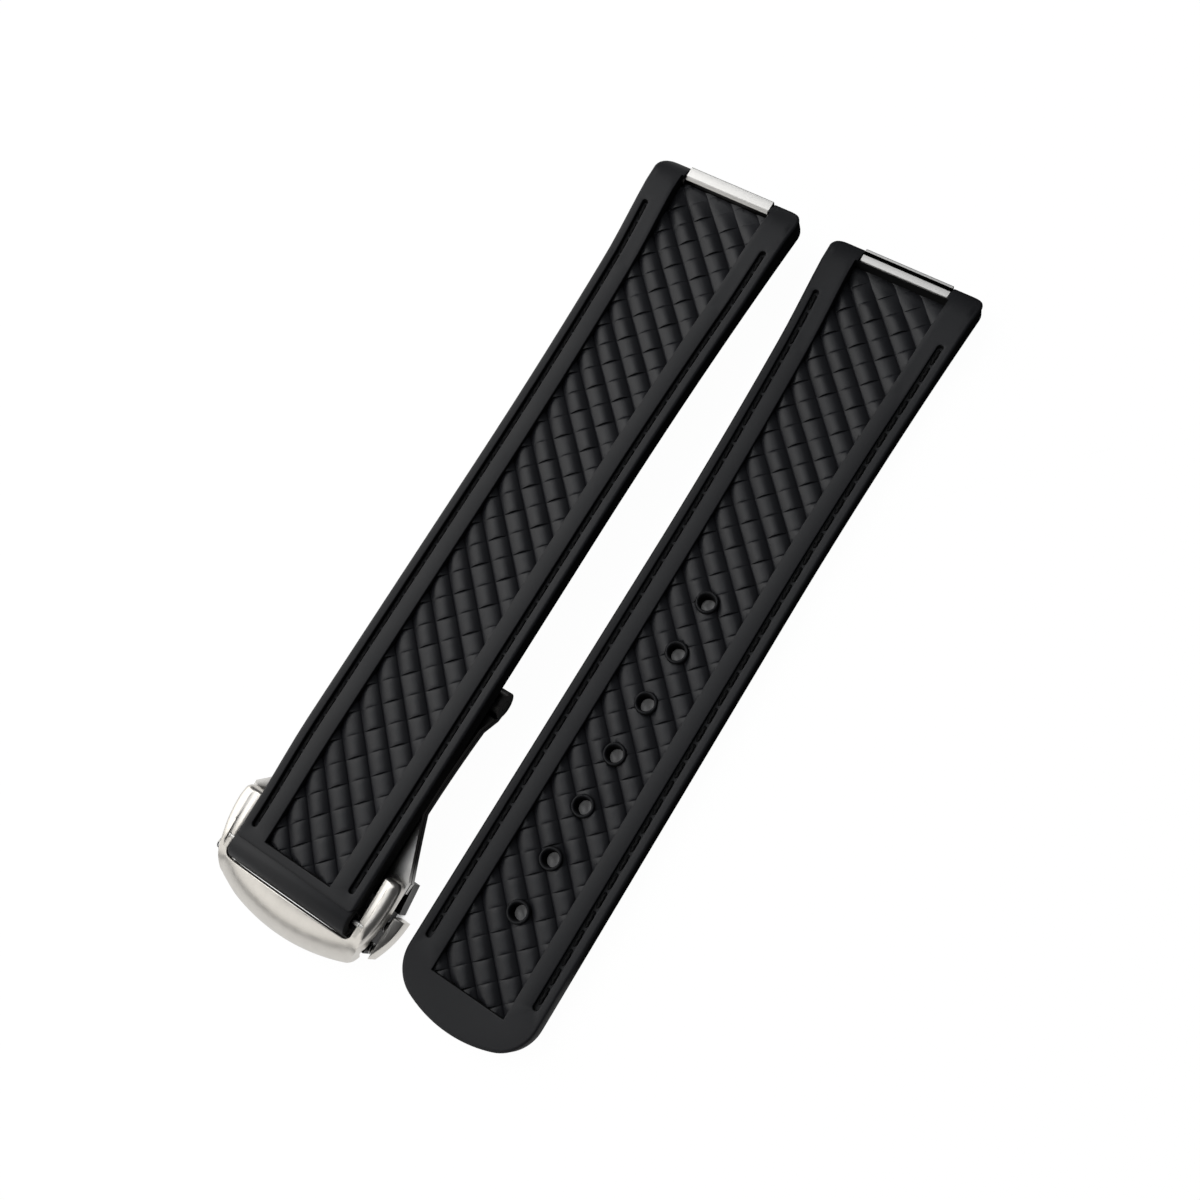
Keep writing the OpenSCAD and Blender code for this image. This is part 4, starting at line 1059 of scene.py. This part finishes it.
def clasp_cover():
    """The whole cover, with dots inside its lines where it is rolled."""
    top, under = Plan(), Plan()
    for inset in COVER_INSETS:
        top.add(cover_ring(inset))
    inner_dots = [(x, s) for s in span(NEAR_S + DOTS_IN, NOSE_S + NOSE_R - DOTS_IN, 0.3)
                  for x in span(-EAR_IN, EAR_IN, 0.5)
                  if math.hypot(x, s - NOSE_S) < NOSE_R - DOTS_IN]
    ear_dots = [(side * (EAR_IN + dx), s) for side in (1, -1) for dx in EAR_DOTS
                for s in span(EAR_S + DOTS_IN, DOTS_END, 0.3)
                if FLANK_R - math.hypot(EAR_IN + dx - FLANK_X, s - FLANK_S) > EAR_DOTS_IN]
    top.scatter(inner_dots + ear_dots)
    under.add(cover_ring(0))
    under.add(cover_ring(0.1))
    under.scatter([(x, s) for x, s in inner_dots if abs(x) < EAR_IN - 0.4] + ear_dots)
    for side in (1, -1):
        under.scatter([(side * (EAR_IN - CHEEK_IN - d), s) for d in (-0.01, 0.01)
                       for s in span(CHEEK_START, CHEEK_END, 0.2)])
    return shell(COVER_TABLE, top, cover_height, under, cover_under)


finish_mesh(clasp_cover(), "cover_sheet", "clasp_lid", "steel_polished", ["clasp_cover"], 32)

# %% [markdown]
# ## The release buttons
# Outside, a button is a crescent wing that leans away from the clasp. Inside, it is a plate
# with a tooth, on two stems. The wing is a plan fill like the cover, and the plate and the
# stems are blocks and rods with bevelled edges, in steel painted dark as painted shade,
# because they lie in shade.

# %% Buttons
LEFT_WING_X, LEFT_WING_AT, LEFT_WING_THIN, LEFT_PLATE_THIN = 12.75, 11.75, 0.5, 0.9
PLATE = (9.95, 10.5)

def button_left_x(x, s):
    """The left wing is shorter and thinner, so the ear hides it in the photograph."""
    if x >= LEFT_WING_X:
        return LEFT_WING_AT + (x - LEFT_WING_X) * LEFT_WING_THIN
    return PLATE[0] + (x - PLATE[0]) * LEFT_PLATE_THIN

BUTTON_TABLE = Table(button_left_x)
WING_X, WING_S, WING_R, WING_S0, WING_TOP, WING_LOW = 11.95, 97.8, 13.3, 98.1, 3.2, 0.5
WING_LEAN, WING_EDGE, WING_INSETS = 0.35, 0.18, (0, 0.02, 0.06, 0.13, 0.18)
WING_DOTS, WING_DOTS_S = (12.35, 12.55, 12.75, 12.9), (WING_S0 + 0.4, 102.6)
PLATE_S, PLATE_Z, TOOTH_S, TOOTH_Z, TOOTH_LONG = (98.2, 103.1), (1.2, 2.5), (98.2, 99.7), 4.65, 0.4
STEM_S, STEM_Z, STEM_R = (99.6, 102.6), 1.9, 0.4

def wing_ring(side, inset):
    """The wing's plan: a chord beside the clasp and an arc outside."""
    x = (WING_X if side > 0 else LEFT_WING_X) + inset
    start = math.asin((WING_S0 + inset - WING_S) / (WING_R - inset))
    stop = math.acos(x / (WING_R - inset))
    curve = arc(0, WING_S, WING_R - inset, start, stop, 20)
    points = [(x, s) for s in span(curve[-1][1], WING_S0 + inset, 0.5)[1:]]
    points += [(x, WING_S0 + inset) for x in span(x, curve[0][0], 0.4)[1:-1]]
    return [(side * x, s) for x, s in points + curve]


def wing_height(x, s):
    """The wing's top, which leans down towards its outer edge."""
    start = WING_X if x > 0 else LEFT_WING_X
    x = abs(x)
    outer = math.sqrt(WING_R ** 2 - (s - WING_S) ** 2)
    lean = WING_LEAN * min(1.0, max(0.0, (x - start) / max(0.2, outer - start))) ** 1.6
    inside = min(x - start, s - WING_S0, WING_R - math.hypot(x, s - WING_S))
    return WING_TOP - lean - drop(inside, WING_EDGE)


def button_wing(side):
    top, under = Plan(), Plan()
    for inset in WING_INSETS + ((0.3,) if side > 0 else ()):
        top.add(wing_ring(side, inset))
    if side > 0:
        top.scatter([(x, s) for s in span(*WING_DOTS_S, 0.3) for x in WING_DOTS
                     if math.hypot(x, s - WING_S) < WING_R - 0.35])
    under.add(wing_ring(side, 0))
    under.add(wing_ring(side, 0.12))
    return shell(BUTTON_TABLE, top, wing_height, under, lambda x, s: WING_LOW)


def block(bm, x, s, z, edge=0.06):
    """A bevelled box between pairs of x, s and z."""
    corners = [BUTTON_TABLE.at(a, b, c) for a in x for b in s for c in z]
    middle = sum(corners, Vector()) / 8
    size = [abs(corners[7][i] - corners[0][i]) for i in range(3)]
    made = bmesh.ops.create_cube(
        bm, size=1.0, matrix=Matrix.Translation(middle) @ Matrix.Diagonal((*size, 1)))
    edges = list(dict.fromkeys(e for v in made["verts"] for e in v.link_edges))
    bmesh.ops.bevel(bm, geom=edges, offset=edge * MM, segments=2, profile=0.5, affect="EDGES")


def button_hook(side):
    """The plate, its tooth and the stems. The short left wing covers only one stem."""
    bm = bmesh.new()
    plate = tuple(side * x for x in PLATE)
    block(bm, plate, PLATE_S, PLATE_Z)
    block(bm, plate, TOOTH_S, (PLATE_Z[1] - 0.1, TOOTH_Z))
    block(bm, (plate[0], plate[1] + side * TOOTH_LONG), TOOTH_S, (TOOTH_Z - 0.4, TOOTH_Z))
    stem = (plate[0], side * (WING_X + 0.1))
    for s in STEM_S if side > 0 else STEM_S[:1]:
        cylinder(bm, STEM_R, abs(stem[1] - stem[0]), BUTTON_TABLE.at(sum(stem) / 2, s, STEM_Z), 24)
    return bm

for side, word in SIDES:
    finish_mesh(button_wing(side), f"wing_{word}", f"{word}_button", "steel_polished",
                [f"button_{word}"], 32)
    # The plate and stems get dark steel as painted shade, because they lie in shade under the
    # cover.
    finish_mesh(button_hook(side), f"hook_{word}", f"{word}_button", "steel_dark", [], 40)

# %% [markdown]
# ## Tips of the spring bar
# Each tip is a lathe shape: a plunger inside the tube, a flange that a tool can pull, and
# the pivot that sits in the ear.

# %% Spring bar tips
PIN_R, PIN_FLANGE_R, PIN_EDGE = 0.4, 0.46, 0.1
PIN_START, PIN_FLANGE, PIN_END = 5.52, (9.7, 9.9), 10.6
PIN_PROFILE = [(0.01, PIN_START), (PIN_R, PIN_START), (PIN_R, PIN_FLANGE[0]),
               (PIN_FLANGE_R, PIN_FLANGE[0]), (PIN_FLANGE_R, PIN_FLANGE[1]),
               (PIN_R, PIN_FLANGE[1]), (PIN_R, PIN_END - PIN_EDGE), (PIN_R - PIN_EDGE, PIN_END),
               (0.01, PIN_END)]

for side, word in SIDES:
    bm = bmesh.new()
    profile = [(r, side * x) for r, x in PIN_PROFILE]
    lathe(bm, HALF_A, profile, ROLL_S, ROLL_Z, 32, bend=False)
    bmesh.ops.recalc_face_normals(bm, faces=bm.faces)
    finish_mesh(bm, f"tip_{word}", f"{word}_tip", "steel_brushed", [f"spring_bar_tip_{word}"], 30)

# %% [markdown]
# ## The blades
# The blades are thin bent sheets, so their CAD meshes already have the right shape. In a
# copy the left flare is drawn in under the strap, where the photograph shows only paper.

# %% Blades
BLADE_S, FLARE_S, FLARE_END, UNDER_STRAP = 80, 91.3, 93.85, 9.0

for node, body in (("upper_blade", "clasp_lid"), ("lower_blade", "clasp_base")):
    bm = bmesh.new()
    bm.from_mesh(frame["nodes"][node].data)
    bm.transform(frame["nodes"][node].matrix_world)
    for vert in bm.verts:
        x, s = vert.co.x / MM - HALF_A.x, HALF_A.lug_y - vert.co.y / MM
        if x < -UNDER_STRAP and BLADE_S < s < FLARE_END:
            share = max(0.0, (s - FLARE_S) / (FLARE_END - FLARE_S))
            vert.co.x = (HALF_A.x - UNDER_STRAP + (x + UNDER_STRAP) * share) * MM
    finish_mesh(bm, f"sheet_{node}", body, "steel_brushed", [node], 25)
